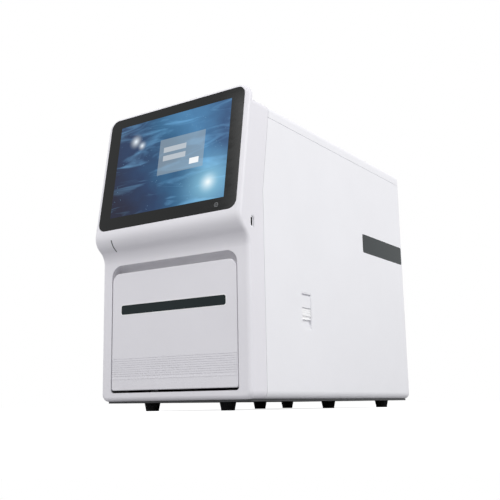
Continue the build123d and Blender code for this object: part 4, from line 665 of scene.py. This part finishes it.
def make_belt_teeth():
    """Rounded ribs across the inner face of the belt, evenly spaced along its loop."""
    pattern = Pattern("belt_teeth", {"Tooth Pitch": 0.002, "Tooth Radius": 0.00028, "Tooth Height": 0.0058})
    loop = pattern.add("GeometryNodeMeshToCurve", {"Mesh": pattern.given["Carrier"]}).outputs["Curve"]
    spacing = {"Curve": loop, "Length": pattern.given["Tooth Pitch"]}
    stops = pattern.add("GeometryNodeCurveToPoints", spacing, mode="LENGTH").outputs["Points"]
    rib = pattern.bar(8, "Tooth Radius", "Tooth Height")
    placed = pattern.add("GeometryNodeInstanceOnPoints", {"Points": stops, "Instance": rib})
    height = (BELT_LOW + BELT_HIGH) / 2
    bend = ring_points((0, 0), BELT_HALF, 12, -math.pi / 2, math.pi / 2)
    points = [(x, BELT_REAR + y, height) for x, y in bend]
    points += [(-x, BELT_FRONT - y, height) for x, y in bend]
    edges = [(k, (k + 1) % len(points)) for k in range(len(points))]
    pattern.grow(placed.outputs["Instances"], points, edges, BLACK_RUBBER, "root")


# Stage
def make_floor():
    """Pale floor that keeps the object's shadow and looks near white to the camera."""
    corners = [(x * FLOOR_HALF, y * FLOOR_HALF, 0) for x, y in ((-1, -1), (1, -1), (1, 1), (-1, 1))]
    mesh = bpy.data.meshes.new("studio_floor")
    mesh.from_pydata(corners, [], [(0, 1, 2, 3)])
    floor = bpy.data.objects.new("studio_floor", mesh)
    bpy.context.scene.collection.objects.link(floor)
    material = bpy.data.materials.new("studio_floor")
    tree = empty_tree(material)
    seen = add_node(tree, "ShaderNodeLightPath").outputs["Is Camera Ray"]
    pale = add_node(tree, "ShaderNodeBsdfDiffuse", {"Color": FLOOR_TONE}).outputs["BSDF"]
    lift = add_node(tree, "ShaderNodeEmission", {"Strength": FLOOR_LIFT}).outputs["Emission"]
    both = add_node(tree, "ShaderNodeAddShader", {0: pale, 1: lift}).outputs["Shader"]
    chosen = add_node(tree, "ShaderNodeMixShader", {0: seen, 1: pale, 2: both}).outputs["Shader"]
    add_node(tree, "ShaderNodeOutputMaterial", {"Surface": chosen})
    mesh.materials.append(material)


def make_world():
    """Even studio light; the background itself is white, seen directly, in gloss and through glass."""
    world = bpy.data.worlds.new("studio")
    bpy.context.scene.world = world
    tree = empty_tree(world)
    rays = add_node(tree, "ShaderNodeLightPath").outputs
    plain = rays["Is Camera Ray"]
    for kind in ("Is Glossy Ray", "Is Transmission Ray"):
        either = add_node(tree, "ShaderNodeMath", {0: plain, 1: rays[kind]}, operation="MAXIMUM")
        plain = either.outputs["Value"]
    light = add_node(tree, "ShaderNodeBackground", {"Color": STUDIO_TONE, "Strength": STUDIO_LIGHT})
    white = add_node(tree, "ShaderNodeBackground", {"Color": (1.0, 1.0, 1.0, 1), "Strength": 1.0})
    dim, bright = light.outputs["Background"], white.outputs["Background"]
    chosen = add_node(tree, "ShaderNodeMixShader", {0: plain, 1: dim, 2: bright}).outputs["Shader"]
    add_node(tree, "ShaderNodeOutputWorld", {"Surface": chosen})


def soft_lamp(name, place, aim, size, power):
    """Square lamp aimed at a point."""
    data = bpy.data.lights.new(name, "AREA")
    data.shape = "SQUARE"
    data.size = size
    data.energy = power
    lamp = bpy.data.objects.new(name, data)
    bpy.context.scene.collection.objects.link(lamp)
    lamp.location = place
    lamp.rotation_euler = (Vector(aim) - Vector(place)).to_track_quat("-Z", "Y").to_euler()


def make_camera():
    """The photograph's viewpoint: low, from the front right corner, looking a little upwards."""
    azimuth, rise, roll = math.radians(35.15), math.radians(-11.09), math.radians(0.76)
    place = Vector((0.78775, -1.25275, 0.0088))
    level = math.cos(rise)
    forward = -Vector((math.sin(azimuth) * level, -math.cos(azimuth) * level, math.sin(rise)))
    right = forward.cross(Vector((0, 0, 1))).normalized()
    down = forward.cross(right)
    right, down = (
        math.cos(roll) * right + math.sin(roll) * down,
        -math.sin(roll) * right + math.cos(roll) * down,
    )
    data = bpy.data.cameras.new("camera")
    data.sensor_width = 36.0
    data.lens = 56.82
    data.shift_x = 0.05
    camera = bpy.data.objects.new("camera", data)
    bpy.context.scene.collection.objects.link(camera)
    turn = Matrix((right, -down, -forward)).transposed()
    camera.matrix_world = Matrix.Translation(place) @ turn.to_4x4()
    bpy.context.scene.camera = camera


dress_nodes()
make_picture()
make_home_key()
turned_screw("threaded_z_screw", Z_SCREW_PLACE, Z_SCREW_RADIUS, "z_screw")
turned_screw("threaded_magnet_screw", MAGNET_SCREW_PLACE, MAGNET_SCREW_RADIUS, "magnet_screw")
make_screws()
make_contacts()
make_belt_teeth()
make_floor()
make_world()
soft_lamp("key_right", (2.6, -0.1, 1.7), (0.1, 0.0, 0.25), 1.8, 44.0)
soft_lamp("rim_above", (-0.3, -1.3, 2.3), (0.0, -0.2, 0.40), 0.7, 7.0)
soft_lamp("fill_front", (-0.7, -2.6, 1.5), (0.0, -0.2, 0.25), 1.6, 20.0)
make_camera()
bpy.context.scene.view_settings.view_transform = "Standard"
